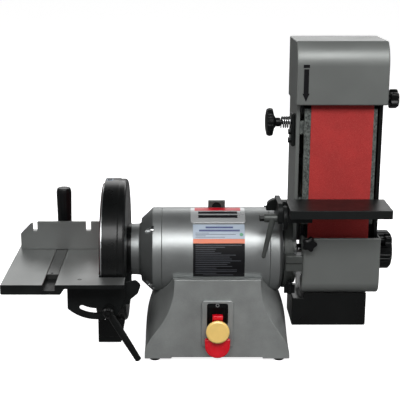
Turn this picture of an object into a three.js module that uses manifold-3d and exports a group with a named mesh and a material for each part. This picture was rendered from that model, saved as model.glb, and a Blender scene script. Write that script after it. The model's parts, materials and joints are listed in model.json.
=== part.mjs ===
// Bench belt and disc sander: a motor on a cast base drives a 9 in sanding disc on its left
// and a 4 x 36 in sanding belt on its right. Millimetres, +Z up, front towards -Y.
// Inside the motor and belt arm groups, Z is measured from the motor axis.
import * as THREE from 'three';
import { mergeVertices } from 'three/addons/utils/BufferGeometryUtils.js';
import Module from 'manifold-3d';

const wasm = await Module();
wasm.setup();

// ---- driving dimensions -------------------------------------------------------------
const GAP = 0.3;                       // clearance left between neighbouring pieces
const ORIGIN = [23.75, 7, 0];          // moves the whole machine over its own centre
const AXIS_Z = 174.3;                  // motor axis above the bench
const MOTOR_R = 72.7;
const SHELL = [-93.2, 87.7];           // motor shell, left and right end
const SHAFT_R = 9.5;
const BORE_R = SHAFT_R + GAP;
const NECK_R = 43.3;
const BOSS_R = 55.5;
const BASE_TOP = 144;
const BASE_BOTTOM = 5.5;
const BASE_HALF_TOP = 72.2;            // half width of the front face at the top
const BASE_HALF_CRADLE = 80;           // half width at mid depth, under the motor, at the top
const BASE_HALF_BOTTOM = 122.8;
const BASE_HALF_DEPTH = [78, 83];      // front to centre, at the top and at the bottom
const FOOT_X = 105.5;
const FOOT_Y = 70;
const DISC_R = 114.3;                  // 9 in disc
const DISC_FACE_X = -194.4;
const GUARD_R = 123;
const GUARD_X = [-190, -152.3];
const COVER_X = -202;
const TABLE_PIVOT = [-197.4, 0, 166];  // disc table's tilt axis, along its top edge at the disc
const TABLE_Y = [-167, 153];
const TABLE_THICK = 6.5;
const TABLE_DEEP = 16;
const CUTOUT_Y = 129.3;                // the table reaches past the disc guard beyond this
const TRUNNION_SLOT_R = 55;
const TRUNNION_R = 69.7;
const TRUNNION_LEFT = -47.2;
const LOCK_ANGLE = 21;                 // lock stud, degrees right of straight down
const TILT = 45;
const SLOT_X = [-82.25, -62.95];       // miter slot, from the tilt axis
const MITER_PIVOT = [-72.6, 33];
const HANDLE_Y = 75.3;
const BELT_X = [150.4, 252];           // 4 in belt
const DRUM_R = 50;
const DRUM_SPACING = 298;              // gives the 36 in loop
const BELT_THICK = 1;
const ARM_LEFT = [127, 133];           // left side plate of the belt arm
const ARM_RIGHT = [262, 268];
const ARM_HALF_DEPTH = 46;
const REAR_COVER_Y = [54.5, 57];       // cover behind the belt's rear run
const UPPER_GUARD = { x: [124, 272], y: [-66, 56], z: [260.7, 361.7] };
const LOWER_GUARD = { x: [141, 270.5], y: [-70, 30], z: [-60, 39.7] };
const SHEET = 2.5;                     // guard sheet thickness
const ROUND = 40;                      // sides of a large round body
const BELT_TABLE = { x: [112, 274.5], y: [-134, -58], z: [89.7, 103.7] };
const BELT_TABLE_PIVOT = [-88, 79.7];  // Y and Z of its tilt axis
const KEY_Z = 61.2;                    // safety key above the bench
const PADDLE_PIVOT = [0, -84, 74];

const COLOURS = {
  silver_paint: [0x9c9f9f, 0.45, 0.6],
  grey_paint: [0x6f7271, 0.4, 0.4],
  black_paint: [0x16181a, 0.5, 0.2],
  cast_black: [0x1b1d1e, 0.6, 0.3],
  machined_iron: [0x6b6c6b, 0.35, 0.8],
  table_black: [0x2a2c2c, 0.4, 0.5],
  steel: [0xb5b7b8, 0.3, 0.9],
  plastic_black: [0x141516, 0.45, 0],
  red_grit: [0x9b3230, 0.9, 0],
  graphite: [0x5b5f5c, 0.8, 0.1],
  paddle_red: [0xd3072a, 0.35, 0],
  key_yellow: [0xf0d773, 0.4, 0],
  rubber: [0x191919, 0.9, 0],
  copper_iron: [0x6a5140, 0.5, 0.5],
  label: [0xcfd6dc, 0.5, 0],
  badge: [0xc6c8c9, 0.3, 0.8],
};

// ---- solids -------------------------------------------------------------------------
const radians = THREE.MathUtils.degToRad;

/** A closed solid from a three.js geometry, whichever way its faces were wound. */
function solid(geometry) {
  const bare = geometry.clone();
  bare.deleteAttribute('normal');
  bare.deleteAttribute('uv');
  const merged = mergeVertices(bare, 1e-4);
  const place = merged.getAttribute('position');
  const corner = (i) => new THREE.Vector3().fromBufferAttribute(place, i);
  const index = merged.index.array;
  const triangles = [];
  let volume = 0;
  for (let i = 0; i < index.length; i += 3) {
    const [a, b, c] = index.slice(i, i + 3);
    if (a === b || b === c || c === a) continue;
    triangles.push([a, b, c]);
    volume += corner(a).dot(corner(b).cross(corner(c)));
  }
  if (volume < 0) triangles.forEach((t) => t.reverse());
  const vertProperties = Float32Array.from(place.array);
  const triVerts = Uint32Array.from(triangles.flat());
  return new wasm.Manifold(new wasm.Mesh({ numProp: 3, vertProperties, triVerts }));
}

const join = (...solids) => solids.reduce((whole, next) => whole.add(next));
const cut = (whole, ...tools) => tools.reduce((rest, tool) => rest.subtract(tool), whole);

/** A block between two X, two Y and two Z values. */
function block([x0, x1], [y0, y1], [z0, z1]) {
  const geometry = new THREE.BoxGeometry(x1 - x0, y1 - y0, z1 - z0);
  geometry.translate((x0 + x1) / 2, (y0 + y1) / 2, (z0 + z1) / 2);
  return solid(geometry);
}

/** A round bar along an axis; centre gives its other two coordinates in X, Y, Z order. */
function bar(axis, radius, [from, to], centre = [0, 0], sides = 24) {
  const geometry = new THREE.CylinderGeometry(radius, radius, to - from, sides);
  return lay(geometry, axis, (from + to) / 2, centre);
}

/** A turned body: profile points are [radius, distance along the axis]. */
function turned(axis, profile, centre = [0, 0], sides = ROUND) {
  const points = profile.map(([radius, along]) => new THREE.Vector2(radius, along));
  return lay(new THREE.LatheGeometry(points, sides), axis, 0, centre);
}

/** Turns a geometry made along Y onto an axis and moves it there. */
function lay(geometry, axis, along, [a, b]) {
  if (axis === 'x') geometry.rotateZ(-Math.PI / 2).translate(along, a, b);
  if (axis === 'y') geometry.translate(a, along, b);
  if (axis === 'z') geometry.rotateX(Math.PI / 2).translate(a, b, along);
  return solid(geometry);
}

/** An outline pushed along an axis. X outlines are (Y, Z), Y outlines (X, Z), Z outlines (X, Y). */
function prism(axis, outline, [from, to], curveSegments = 10) {
  const isList = Array.isArray(outline);
  const shape = isList ? new THREE.Shape(outline.map((p) => new THREE.Vector2(...p))) : outline;
  const options = { depth: to - from, bevelEnabled: false, curveSegments };
  const geometry = new THREE.ExtrudeGeometry(shape, options);
  const x = new THREE.Vector3(1, 0, 0);
  const y = new THREE.Vector3(0, 1, 0);
  const z = new THREE.Vector3(0, 0, 1);
  const turn = new THREE.Matrix4();
  if (axis === 'x') geometry.applyMatrix4(turn.makeBasis(y, z, x)).translate(from, 0, 0);
  if (axis === 'y') geometry.applyMatrix4(turn.makeBasis(x, z, y.negate())).translate(0, to, 0);
  if (axis === 'z') geometry.translate(0, 0, from);
  return solid(geometry);
}

/** A solid through closed rings of points, one above the other, all with the same count. */
function loft(rings) {
  const count = rings[0].length;
  const last = (rings.length - 1) * count;
  const middles = [rings[0], rings.at(-1)].map(([[, , z]]) => [0, 0, z]);
  const points = [...rings.flat(), ...middles];
  const [floor, roof] = [points.length - 2, points.length - 1];
  const index = [];
  for (let i = 0; i < count; i++) {
    const j = (i + 1) % count;
    for (let row = 0; row < last; row += count) {
      index.push(row + i, row + j, row + count + j, row + i, row + count + j, row + count + i);
    }
    index.push(floor, j, i, roof, last + i, last + j);
  }
  const geometry = new THREE.BufferGeometry();
  geometry.setAttribute('position', new THREE.BufferAttribute(new Float32Array(points.flat()), 3));
  geometry.setIndex(index);
  return solid(geometry);
}

/** A slot along an arc about the outline's origin, angles in degrees. */
function arcSlot(radius, halfWidth, from, to) {
  const a = radians(from);
  const b = radians(to);
  const onArc = (angle) => [radius * Math.cos(angle), radius * Math.sin(angle)];
  const shape = new THREE.Shape();
  shape.absarc(0, 0, radius + halfWidth, a, b, false);
  shape.absarc(...onArc(b), halfWidth, b, b + Math.PI, false);
  shape.absarc(0, 0, radius - halfWidth, b, a, true);
  shape.absarc(...onArc(a), halfWidth, a + Math.PI, a + 2 * Math.PI, false);
  return shape;
}

/** The centre line of a coil spring along +Z. */
class Helix extends THREE.Curve {
  constructor(radius, length, turns) {
    super();
    Object.assign(this, { radius, length, turns });
  }

  getPoint(t, target = new THREE.Vector3()) {
    const angle = 2 * Math.PI * this.turns * t;
    const { radius, length } = this;
    return target.set(radius * Math.cos(angle), radius * Math.sin(angle), length * t);
  }
}

/** A coil spring standing on the origin, along +Z, its wire wholly inside its length. */
function coil(radius, length, turns, wire) {
  const section = new THREE.Shape().absarc(0, 0, wire, 0, 2 * Math.PI, false);
  const extrudePath = new Helix(radius, length - 2 * wire, turns);
  const geometry = new THREE.ExtrudeGeometry(section, { extrudePath, steps: 10 * turns, curveSegments: 3 });
  geometry.translate(0, 0, wire);
  return solid(geometry);
}

/** A star knob along +X from the origin: stem first, lobed head last. */
function starKnob(stemRadius, stemLength, headRadius, headLength, lobes = 5) {
  const shape = new THREE.Shape();
  const steps = lobes * 8;
  for (let i = 0; i < steps; i++) {
    const angle = (2 * Math.PI * i) / steps;
    const radius = headRadius * (0.88 + 0.12 * Math.cos(lobes * angle));
    const point = [radius * Math.cos(angle), radius * Math.sin(angle)];
    if (i === 0) shape.moveTo(...point);
    else shape.lineTo(...point);
  }
  const head = prism('x', shape, [stemLength, stemLength + headLength]);
  return join(head, bar('x', stemRadius, [0, stemLength + 1], [0, 0], 20));
}

/** A hexagonal bolt head or nut along an axis. */
const hexagon = (axis, radius, span, centre) => bar(axis, radius, span, centre, 6);

/** Adds a named sub-part to a group. */
function addPiece(group, name, colour, shape, position = [0, 0, 0], rotation = [0, 0, 0]) {
  const { vertProperties, triVerts } = shape.getMesh();
  const geometry = new THREE.BufferGeometry();
  geometry.setAttribute('position', new THREE.BufferAttribute(new Float32Array(vertProperties), 3));
  geometry.setIndex(new THREE.BufferAttribute(new Uint32Array(triVerts), 1));
  geometry.computeVertexNormals();
  const [color, roughness, metalness] = COLOURS[colour];
  const mesh = new THREE.Mesh(geometry, new THREE.MeshStandardMaterial({ color, roughness, metalness }));
  mesh.name = name;
  mesh.position.set(...position);
  mesh.rotation.set(...rotation);
  group.add(mesh);
}

/** Adds an empty group at a place. */
function addGroup(parent, position = [0, 0, 0]) {
  const group = new THREE.Group();
  group.position.set(...position);
  parent.add(group);
  return group;
}

// ---- base ---------------------------------------------------------------------------
/** Front to back half depth of the base at a height. */
function baseHalfDepth(z) {
  const [top, bottom] = BASE_HALF_DEPTH;
  return bottom + ((top - bottom) * (z - BASE_BOTTOM)) / (BASE_TOP - BASE_BOTTOM);
}

/** The flared right edge of the base's front face, bottom to top, as X and Z. */
function baseEdge(inset, top) {
  const half = BASE_HALF_TOP - inset;
  const foot = BASE_HALF_BOTTOM - inset;
  const points = [[foot, BASE_BOTTOM - inset], [foot + 3.2, 50], [half - 2.2, 62], [half, top]];
  return new THREE.CubicBezierCurve(...points.map((p) => new THREE.Vector2(...p)));
}

/** Outer surface of the base: a waisted block whose ends swell out behind the flared faces. */
function baseOutside() {
  const levels = baseEdge(0, BASE_TOP).getPoints(12);
  const steps = 10;
  const rings = levels.map(({ x: face, y: z }) => {
    const height = (z - BASE_BOTTOM) / (BASE_TOP - BASE_BOTTOM);
    const waist = BASE_HALF_BOTTOM + (BASE_HALF_CRADLE - BASE_HALF_BOTTOM) * height ** 3;
    const depth = baseHalfDepth(z);
    const end = Array.from({ length: steps + 1 }, (_, i) => {
      const side = (2 * i) / steps - 1;
      return [waist + (face - waist) * side ** 4, side * depth, z];
    });
    return [...end, ...end.map(([x, y]) => [-x, -y, z])];
  });
  return loft(rings);
}

function baseCasting() {
  const outside = baseOutside();
  const edge = baseEdge(8, 90).getPoints(12);
  const endView = [...edge, ...edge.map(({ x, y }) => ({ x: -x, y })).reverse()];
  const cavity = prism('y', endView.map(({ x, y }) => [x, y]), [-74, 74]);
  const arch = [[-84, 0], [84, 0], [76, 8], [-76, 8]];
  const cradle = bar('x', MOTOR_R + 0.4, [-130, 130], [0, AXIS_Z], ROUND);
  const switchHole = block([-18.5, 18.5], [-95, -60], [26.5, 106]);
  const glandHole = bar('y', 8.3, [70, 90], [60, 40], 24);
  return cut(outside, cavity, cradle, switchHole, glandHole, prism('y', arch, [-90, 90]));
}

function addBase(machine) {
  const base = addGroup(machine);
  addPiece(base, 'base_casting', 'silver_paint', baseCasting());
  const footTop = BASE_BOTTOM - GAP;
  const foot = turned('z', [[0, 0], [8.5, 0], [9.5, 1.2], [9.5, footTop], [0, footTop]], [0, 0], 16);
  for (const [depth, y] of [['front', -FOOT_Y], ['rear', FOOT_Y]]) {
    for (const [side, x] of [['left', -FOOT_X], ['right', FOOT_X]]) {
      addPiece(base, `foot_${depth}_${side}`, 'rubber', foot, [x, y, 0]);
    }
  }
  addPiece(base, 'run_capacitor', 'plastic_black', bar('x', 17, [-40, 40], [30, 62], 24));
  const glandProfile = [
    [0, 62], [7, 62], [8, 66], [8, 83.5], [12, 83.5], [12, 88], [8, 90], [6, 106], [0, 106],
  ];
  const gland = turned('y', glandProfile, [60, 40], 16);
  addPiece(base, 'cord_gland', 'plastic_black', cut(gland, bar('y', 3.6, [60, 110], [60, 40], 16)));
}

// ---- motor --------------------------------------------------------------------------
function addMotor(machine) {
  const motor = addGroup(machine, [0, 0, AXIS_Z]);
  const [left, right] = SHELL;
  const inner = MOTOR_R - 3.7;
  const tube = [[MOTOR_R, left], [MOTOR_R, right], [inner, right], [inner, left], [MOTOR_R, left]];
  addPiece(motor, 'motor_shell', 'silver_paint', turned('x', tube));

  const leftBell = [
    [MOTOR_R, left - GAP], [MOTOR_R, -108.8], [54, -128.7], [NECK_R, -128.7], [NECK_R, -152],
    [12, -152], [12, -126], [20.3, -126], [20.3, -112], [30, -112], [60, -106], [66, left - GAP],
    [MOTOR_R, left - GAP],
  ];
  addPiece(motor, 'left_end_bell', 'silver_paint', turned('x', leftBell));
  const rightBell = [
    [MOTOR_R, right + GAP], [66, right + GAP], [60, 100], [30, 108], [20.3, 108], [20.3, 122],
    [12, 122], [12, 126.7], [BOSS_R, 126.7], [BOSS_R, 109.3], [67, 109.3], [MOTOR_R, 104],
    [MOTOR_R, right + GAP],
  ];
  addPiece(motor, 'right_end_bell', 'silver_paint', turned('x', rightBell));
  addPiece(motor, 'stator_core', 'copper_iron', ring(68.7, 42.3, [-50, 45]));
  for (const [name, x] of [['left_bearing', -125.7], ['right_bearing', 108.3]]) {
    addPiece(motor, name, 'steel', ring(20, BORE_R, [0, 13.4], 24), [x, 0, 0]);
  }

  const lug = block([-14.7, 14.7], [2, 8], [MOTOR_R - 5, 86]);
  const eye = bar('y', 8.5, [0, 10], [0, 74.5], 24);
  const seat = bar('x', MOTOR_R + GAP, [-20, 20], [0, 0], ROUND);
  addPiece(motor, 'top_lug', 'black_paint', cut(lug, eye, seat));
  addPiece(motor, 'name_badge', 'badge', curvedPlate([-45, 47.5], 1, -37, 0));
  addPiece(motor, 'rating_label', 'label', curvedPlate([-41, 45], 0.5, -112, -39));
  return motor;
}

/** A ring along X. */
function ring(outer, inner, [from, to], sides = 32) {
  return turned('x', [[inner, from], [outer, from], [outer, to], [inner, to], [inner, from]], [0, 0], sides);
}

/** A thin plate bent round the motor, between two angles from the top, negative to the front. */
function curvedPlate(span, thick, from, to) {
  const radius = MOTOR_R + GAP;
  const shape = new THREE.Shape();
  const start = Math.PI / 2 - radians(from);
  const end = Math.PI / 2 - radians(to);
  shape.absarc(0, 0, radius + thick, start, end, true);
  shape.absarc(0, 0, radius, end, start, false);
  return prism('x', shape, span, 12);
}

function addArbor(motor) {
  addPiece(motor, 'arbor_shaft', 'steel', bar('x', SHAFT_R, [-185.7, 275], [0, 0], 24));
  addPiece(motor, 'rotor_core', 'copper_iron', ring(41.5, BORE_R, [-45, 40], 36));
  const blade = block([56, 72], [-1.2, 1.2], [16, 50]);
  const blades = Array.from({ length: 8 }, (_, i) => blade.rotate([45 * i, 0, 0]));
  const fanHub = ring(18, BORE_R, [54, 74], 24);
  const fanPlate = ring(46, 16, [54, 56.5], 32);
  addPiece(motor, 'cooling_fan', 'plastic_black', join(fanHub, fanPlate, ...blades));
  const plate = [
    [0, -192.7], [DISC_R, -192.7], [DISC_R, -181], [28, -181], [28, -162], [BORE_R, -162],
    [BORE_R, -186], [0, -186],
  ];
  addPiece(motor, 'disc_plate', 'steel', turned('x', plate));
  addPiece(motor, 'abrasive_disc', 'red_grit', bar('x', DISC_R, [DISC_FACE_X, -193], [0, 0], ROUND));
  const drum = [
    [BORE_R, 149], [20, 149], [20, 190], [42, 190], [42, 149], [DRUM_R, 149], [DRUM_R, 253],
    [42, 253], [42, 212], [20, 212], [20, 253], [BORE_R, 253], [BORE_R, 149],
  ];
  addPiece(motor, 'drive_drum', 'steel', turned('x', drum, [0, 0], 32));
}

// ---- disc guard and its cover ---------------------------------------------------------
function addDiscGuard(motor) {
  const [front, back] = GUARD_X;
  const pan = [
    [32, back - 4], [GUARD_R - 3.5, back - 4], [GUARD_R - 3.5, front], [GUARD_R, front],
    [GUARD_R, back - 7], [GUARD_R - 7, back], [32, back], [32, back - 4],
  ];
  const mouth = block([front - 2, back - 6], [-44, 44], [-130, -100]);
  addPiece(motor, 'disc_guard', 'cast_black', cut(turned('x', pan), mouth));

  const top = -30;
  const face = bar('x', 121, [COVER_X, front - GAP], [0, 0], ROUND);
  const hollow = bar('x', 118, [COVER_X + SHEET, front + 1], [0, 0], ROUND);
  const upper = block([-210, -140], [-130, 130], [top, 130]);
  const chute = [[COVER_X, -90], [-153, -90], [-163, -148], [COVER_X, -148]];
  const inside = [[COVER_X + SHEET, -80], [-155.5, -80], [-165.5, -150], [COVER_X + SHEET, -150]];
  const guardRoom = bar('x', GUARD_R + GAP, [front - GAP, -140], [0, 0], ROUND);
  const box = cut(prism('y', chute, [-62, 62]), guardRoom);
  const cover = cut(join(cut(face, upper), box), prism('y', inside, [-59.5, 59.5]), hollow);
  addPiece(motor, 'disc_lower_cover', 'black_paint', cover);

  const outline = [
    [-188, -70], [-168, -76], [-148, -50], [-131, -36], [-126, -22], [-134, -14], [-150, -17], [-186, -34],
  ];
  for (const [name, side] of [['table_bracket_front', -1], ['table_bracket_rear', 1]]) {
    const reach = (near, far) => [side * near, side * far].sort((a, b) => a - b);
    const plate = prism('y', outline, reach(123.4, 129));
    const arm = block([-151.9, -144], reach(60, 124), [-56, -24]);
    const hole = bar('y', 4.5, [-140, 140], lockStud(), 20);
    addPiece(motor, name, 'cast_black', cut(join(plate, arm), hole));
  }
}

/** X and Z of the disc table's lock stud, from the motor axis. */
function lockStud() {
  const angle = radians(LOCK_ANGLE);
  const [x, , z] = TABLE_PIVOT;
  return [x + TRUNNION_SLOT_R * Math.sin(angle), z - TRUNNION_SLOT_R * Math.cos(angle) - AXIS_Z];
}

// ---- disc table and miter gauge -------------------------------------------------------
function discTable() {
  const [slotLeft, slotRight] = SLOT_X;
  const [front, rear] = TABLE_Y;
  const section = [
    [-149.1, 0], [slotLeft - 1, 0], [slotLeft, -1], [slotLeft, -9.6], [slotRight, -9.6], [slotRight, -1],
    [slotRight + 1, 0], [0, 0], [-TABLE_THICK, -TABLE_THICK], [-48, -TABLE_THICK], [-54.6, -TABLE_DEEP],
    [-90, -TABLE_DEEP], [-90, -TABLE_THICK], [-143, -TABLE_THICK], [-143, -TABLE_DEEP], [-149.1, -TABLE_DEEP],
  ];
  const plate = prism('y', section, TABLE_Y);
  const frontWall = block([-144, -89], [front, front + 6], [-TABLE_DEEP, -TABLE_THICK + 1]);
  const rearWall = block([-144, -89], [rear - 6, rear], [-TABLE_DEEP, -TABLE_THICK + 1]);
  const frontReach = block([-10, 46.4], [front, -CUTOUT_Y], [-TABLE_THICK, 0]);
  const rearReach = block([-10, 46.4], [CUTOUT_Y, rear], [-TABLE_THICK, 0]);
  return join(plate, frontWall, rearWall, frontReach, rearReach);
}

function trunnionShape() {
  const shape = new THREE.Shape();
  shape.moveTo(46, -TABLE_THICK - GAP);
  shape.lineTo(TRUNNION_LEFT, -TABLE_THICK - GAP);
  const leftCorner = Math.PI + Math.acos(-TRUNNION_LEFT / TRUNNION_R);
  shape.absarc(0, 0, TRUNNION_R, leftCorner, radians(300), false);
  shape.lineTo(46, -32);
  const slack = 1.5;
  const stud = LOCK_ANGLE - 90;
  shape.holes.push(arcSlot(TRUNNION_SLOT_R, 4.7, stud - TILT - slack, stud + slack));
  return shape;
}

function addDiscTable(machine) {
  const table = addGroup(machine, TABLE_PIVOT);
  addPiece(table, 'disc_table', 'machined_iron', discTable());
  addPiece(table, 'trunnion_front', 'cast_black', prism('y', trunnionShape(), [-135.6, -129.4]));
  addPiece(table, 'trunnion_rear', 'cast_black', prism('y', trunnionShape(), [129.4, 135.6]));
  addMiterGauge(table);
  addLockLever(machine);
}

/** The lever that clamps the front trunnion, hanging down and to the right. */
function addLockLever(machine) {
  const [x, z] = lockStud();
  const hub = bar('y', 9, [-158, -136.2], [0, 0], 24);
  const stud = bar('y', 4.1, [-158, -124], [0, 0], 20);
  const arm = prism('y', [[-6, 0], [6, 0], [5.2, -94], [3, -97], [-3, -97], [-5.2, -94]], [-154, -145]);
  const lever = join(hub, stud, arm.rotate([0, -30, 0]));
  addPiece(machine, 'disc_table_lever', 'black_paint', lever, [x, 0, z + AXIS_Z]);
}

function addMiterGauge(table) {
  const [left, right] = SLOT_X;
  const [pivotX, pivotY] = MITER_PIVOT;
  const rail = block([left + 0.35, right - 0.35], [-112, 150], [-9.3, -GAP]);
  const pin = bar('z', 4, [-1, 7], MITER_PIVOT, 20);
  const screwHole = bar('z', 3.3, [-7, 1], [pivotX, HANDLE_Y], 20);
  const endHole = bar('z', 2.5, [-10, 1], [pivotX - 1.8, -106.5], 16);
  addPiece(table, 'miter_bar', 'steel', join(cut(rail, screwHole, endHole), pin));

  const fence = [
    [-144.6, GAP], [-3.6, GAP], [-3.6, 50.2], [-21.4, 50.2], [-21.4, 33.3], [-30.2, 33.3],
    [-30.2, 50.2], [-115.1, 50.2], [-115.1, 33.3], [-123, 33.3], [-123, 47.5], [-126, 47.5],
    [-144.6, 28.5],
  ];
  const sector = new THREE.Shape().absarc(0, 0, 52, 0, Math.PI, false);
  const base = prism('z', sector, [GAP, 8], 12).translate([pivotX, pivotY - 2, 0]);
  const arc = arcSlot(HANDLE_Y - pivotY, 3.6, 42, 138);
  const slot = prism('z', arc, [-1, 12]).translate([pivotX, pivotY, 0]);
  const pinHole = bar('z', 4.3, [-1, 12], MITER_PIVOT, 20);
  const head = cut(join(prism('y', fence, [25.3, 31.3]), cut(base, slot)), pinHole);
  addPiece(table, 'miter_head', 'machined_iron', head);

  const grip = [
    [0, -6.5], [3, -6.5], [3, 8.4], [9, 8.4], [9, 24], [11.4, 27], [13.4, 92], [11, 98.4],
    [6, 99.8], [0, 99.8],
  ];
  const handle = turned('z', grip, [0, 0], 20);
  addPiece(table, 'miter_handle', 'plastic_black', handle, [pivotX, HANDLE_Y, 0]);
}

// ---- belt arm -------------------------------------------------------------------------
/** A side plate of the belt arm: round about the motor axis, straight above it. */
function sidePlate(span, bottomRadius, top) {
  const plate = block(span, [-ARM_HALF_DEPTH, ARM_HALF_DEPTH], [-20, top]);
  const end = bar('x', bottomRadius, span, [0, 0], 32);
  return cut(join(plate, end), bar('x', 20, [span[0] - 1, span[1] + 1], [0, 0], 24));
}

function addArmFrame(arm) {
  const collar = ring(66, BOSS_R + GAP, [112, 126.7], ROUND);
  const clamp = block([112, 140], [-84, -61], [-13.7, 13.1]);
  const slit = block([100, 145], [-90, -50], [-0.8, 0.8]);
  const bore = bar('x', BOSS_R + GAP, [100, 150], [0, 0], ROUND);
  const boltHole = bar('z', 4.4, [-20, 20], [133.5, -74], 20);
  addPiece(arm, 'arm_collar', 'cast_black', cut(join(collar, clamp), slit, bore, boltHole));
  const shank = bar('z', 4, [-36, 16], [133.5, -74], 20);
  const head = hexagon('z', 7.5, [13.4, 19], [133.5, -74]);
  addPiece(arm, 'clamp_bolt', 'steel', join(shank, head));

  const leftPlate = sidePlate(ARM_LEFT, 58, 325);
  const springSeat = block([132, ARM_RIGHT[0] - GAP], [-14, 14], [151, 164]);
  const rearCover = block([ARM_LEFT[0], ARM_RIGHT[1]], REAR_COVER_Y, [0, 259.5]);
  const rearFlange = block(ARM_LEFT, [ARM_HALF_DEPTH - 1, REAR_COVER_Y[1]], [0, 259.5]);
  const trackingHole = bar('x', 4.4, [120, 140], [-25, 227], 20);
  const armFrame = cut(join(leftPlate, springSeat, rearFlange, rearCover), trackingHole);
  addPiece(arm, 'arm_frame', 'grey_paint', armFrame);
  addPiece(arm, 'right_side_plate', 'black_paint', sidePlate(ARM_RIGHT, 48, 325));

  const face = block([140, 258.4], [-50, -44], [57.7, 253.7]);
  const lugs = [80, 210].map((z) => block([ARM_LEFT[1] + GAP, 150], [-46, -36], [z, z + 22]));
  addPiece(arm, 'platen', 'graphite', join(face, ...lugs));
}

function addBelt(arm) {
  const loop = (radius) => {
    const shape = new THREE.Shape();
    shape.absarc(0, 0, radius, Math.PI, 2 * Math.PI, false);
    shape.absarc(0, DRUM_SPACING, radius, 0, Math.PI, false);
    return shape;
  };
  const inner = DRUM_R + GAP;
  const outside = prism('x', loop(inner + BELT_THICK), BELT_X, 10);
  const inside = prism('x', loop(inner), [BELT_X[0] - 1, BELT_X[1] + 1], 10);
  addPiece(arm, 'sanding_belt', 'red_grit', cut(outside, inside));
}

function addBeltGuards(arm) {
  const hood = (inset) => {
    const { y, z } = UPPER_GUARD;
    const top = z[1] - inset;
    const bend = 48 - inset;
    const centre = [y[0] + 48, z[1] - 39];
    const shape = new THREE.Shape();
    shape.moveTo(y[1] - inset, z[0] - inset);
    shape.lineTo(y[1] - inset, top);
    shape.absarc(...centre, bend, Math.PI - Math.asin((top - centre[1]) / bend), Math.PI, false);
    shape.lineTo(y[0] + inset, z[0] - inset);
    return shape;
  };
  const [x0, x1] = UPPER_GUARD.x;
  const knobNotch = bar('x', 4.6, [x1 - 5, x1 + 1], [-20, 264.5], 20);
  const hollow = prism('x', hood(SHEET), [x0 + SHEET, x1 - SHEET]);
  const head = cut(prism('x', hood(0), UPPER_GUARD.x), hollow, knobNotch);
  addPiece(arm, 'upper_guard', 'grey_paint', head);

  const tray = (inset) => {
    const { y, z } = LOWER_GUARD;
    const bend = 22 - inset;
    const shape = new THREE.Shape();
    shape.moveTo(y[1] + inset, z[0] + 22 + inset);
    shape.lineTo(y[0] + 30, z[1] + inset);
    shape.lineTo(y[0] + inset, z[1] + inset);
    shape.absarc(y[0] + 22, z[0] + 22, bend, Math.PI, 1.5 * Math.PI, false);
    shape.lineTo(y[1] + inset, z[0] + inset);
    return shape;
  };
  const [left, right] = LOWER_GUARD.x;
  const inside = prism('x', tray(SHEET), [left + SHEET, right - SHEET]);
  const mouth = block([left - 1, right + 1], [-49, 40], [-57, 60]);
  const dustHole = block([146, 245], [-50, 20], [-65, -50]);
  const screwHole = bar('y', 4.5, [-75, -60], [150.5, 32.4], 20);
  const drumRoom = bar('x', DRUM_R + 2.2, [left - 1, right + 1], [0, 0], ROUND);
  const guard = cut(prism('x', tray(0), LOWER_GUARD.x), inside, mouth, dustHole, screwHole, drumRoom);
  addPiece(arm, 'lower_guard', 'grey_paint', guard);

  const mainBox = block([127.5, 253], [-55, 25], [-119, -70.5]);
  const neck = block([146.5, 253], [-55, 25], [-71, -60.4]);
  const boxHole = block([130, 250.5], [-52.5, 22.5], [-120, -73]);
  const neckHole = block([149, 250.5], [-52.5, 22.5], [-74, -60]);
  addPiece(arm, 'belt_dust_chute', 'black_paint', cut(join(mainBox, neck), boxHole, neckHole));
  const rim = ARM_RIGHT[1] + GAP;
  const cap = [[0, 299], [30, 299], [33, 296], [33, rim], [30, rim], [30, 295], [0, 295]];
  addPiece(arm, 'hub_cap', 'plastic_black', turned('x', cap, [0, 0], 24));
}

function addIdler(arm) {
  const idler = addGroup(arm, [0, 0, DRUM_SPACING]);
  const arms = [[138.5, 144], [256, 261]].map((x) => block(x, [-12, 12], [-83, 12]));
  const bridge = block([138.5, 261], [-12, 12], [-83, -73]);
  const axle = bar('x', 7.7, [138, 261.5], [0, 0], 24);
  addPiece(idler, 'idler_yoke', 'steel', join(bridge, ...arms, axle));
  addPiece(idler, 'idler_drum', 'steel', ring(DRUM_R, 8, [149, 253]));
  addPiece(arm, 'tension_spring', 'steel', coil(9, 50.4, 5, 1.5), [201, 0, 164.3]);
}

function addKnobs(arm) {
  const [x0] = ARM_LEFT;
  const bracket = block([121, x0 - GAP], [-36, -14], [188, 242]);
  addPiece(arm, 'tracking_bracket', 'cast_black', cut(bracket, bar('x', 4.4, [110, 130], [-25, 227], 20)));
  const knob = [
    [0, 77.7], [16, 77.7], [22, 81], [23.4, 85], [22, 90], [12, 94], [7.5, 97], [7.5, 108.5],
    [4, 108.5], [4, 150], [0, 150],
  ];
  const trackingKnob = turned('x', knob, [0, 0], 24);
  addPiece(arm, 'tracking_knob', 'plastic_black', trackingKnob, [0, -25, 227]);
  const spring = coil(6.5, 11.9, 3, 1.2);
  addPiece(arm, 'tracking_spring', 'steel', spring, [108.8, -25, 227], [0, Math.PI / 2, 0]);

  const outer = ARM_RIGHT[1] + GAP;
  addPiece(arm, 'guard_knob', 'plastic_black', starKnob(4.2, 14, 16.5, 15), [outer, -20, 264.5]);
  addPiece(arm, 'hub_knob', 'plastic_black', starKnob(4.2, 13.2, 12, 12.5), [outer, -40, 27.7]);
  const forward = [0, 0, -Math.PI / 2];
  addPiece(arm, 'cover_knob', 'plastic_black', starKnob(4.2, 12, 12.8, 10), [150.5, -63, 32.4], forward);
  const wings = join(block([-9, 9], [-2, 2], [-22, -8]), bar('z', 5, [-22, -4], [0, 0], 16));
  const lockScrew = join(wings, bar('z', 3, [-5, 0], [0, 0], 16));
  addPiece(arm, 'arm_lock_screw', 'plastic_black', lockScrew, [122, -58, -37.5]);
}

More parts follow.
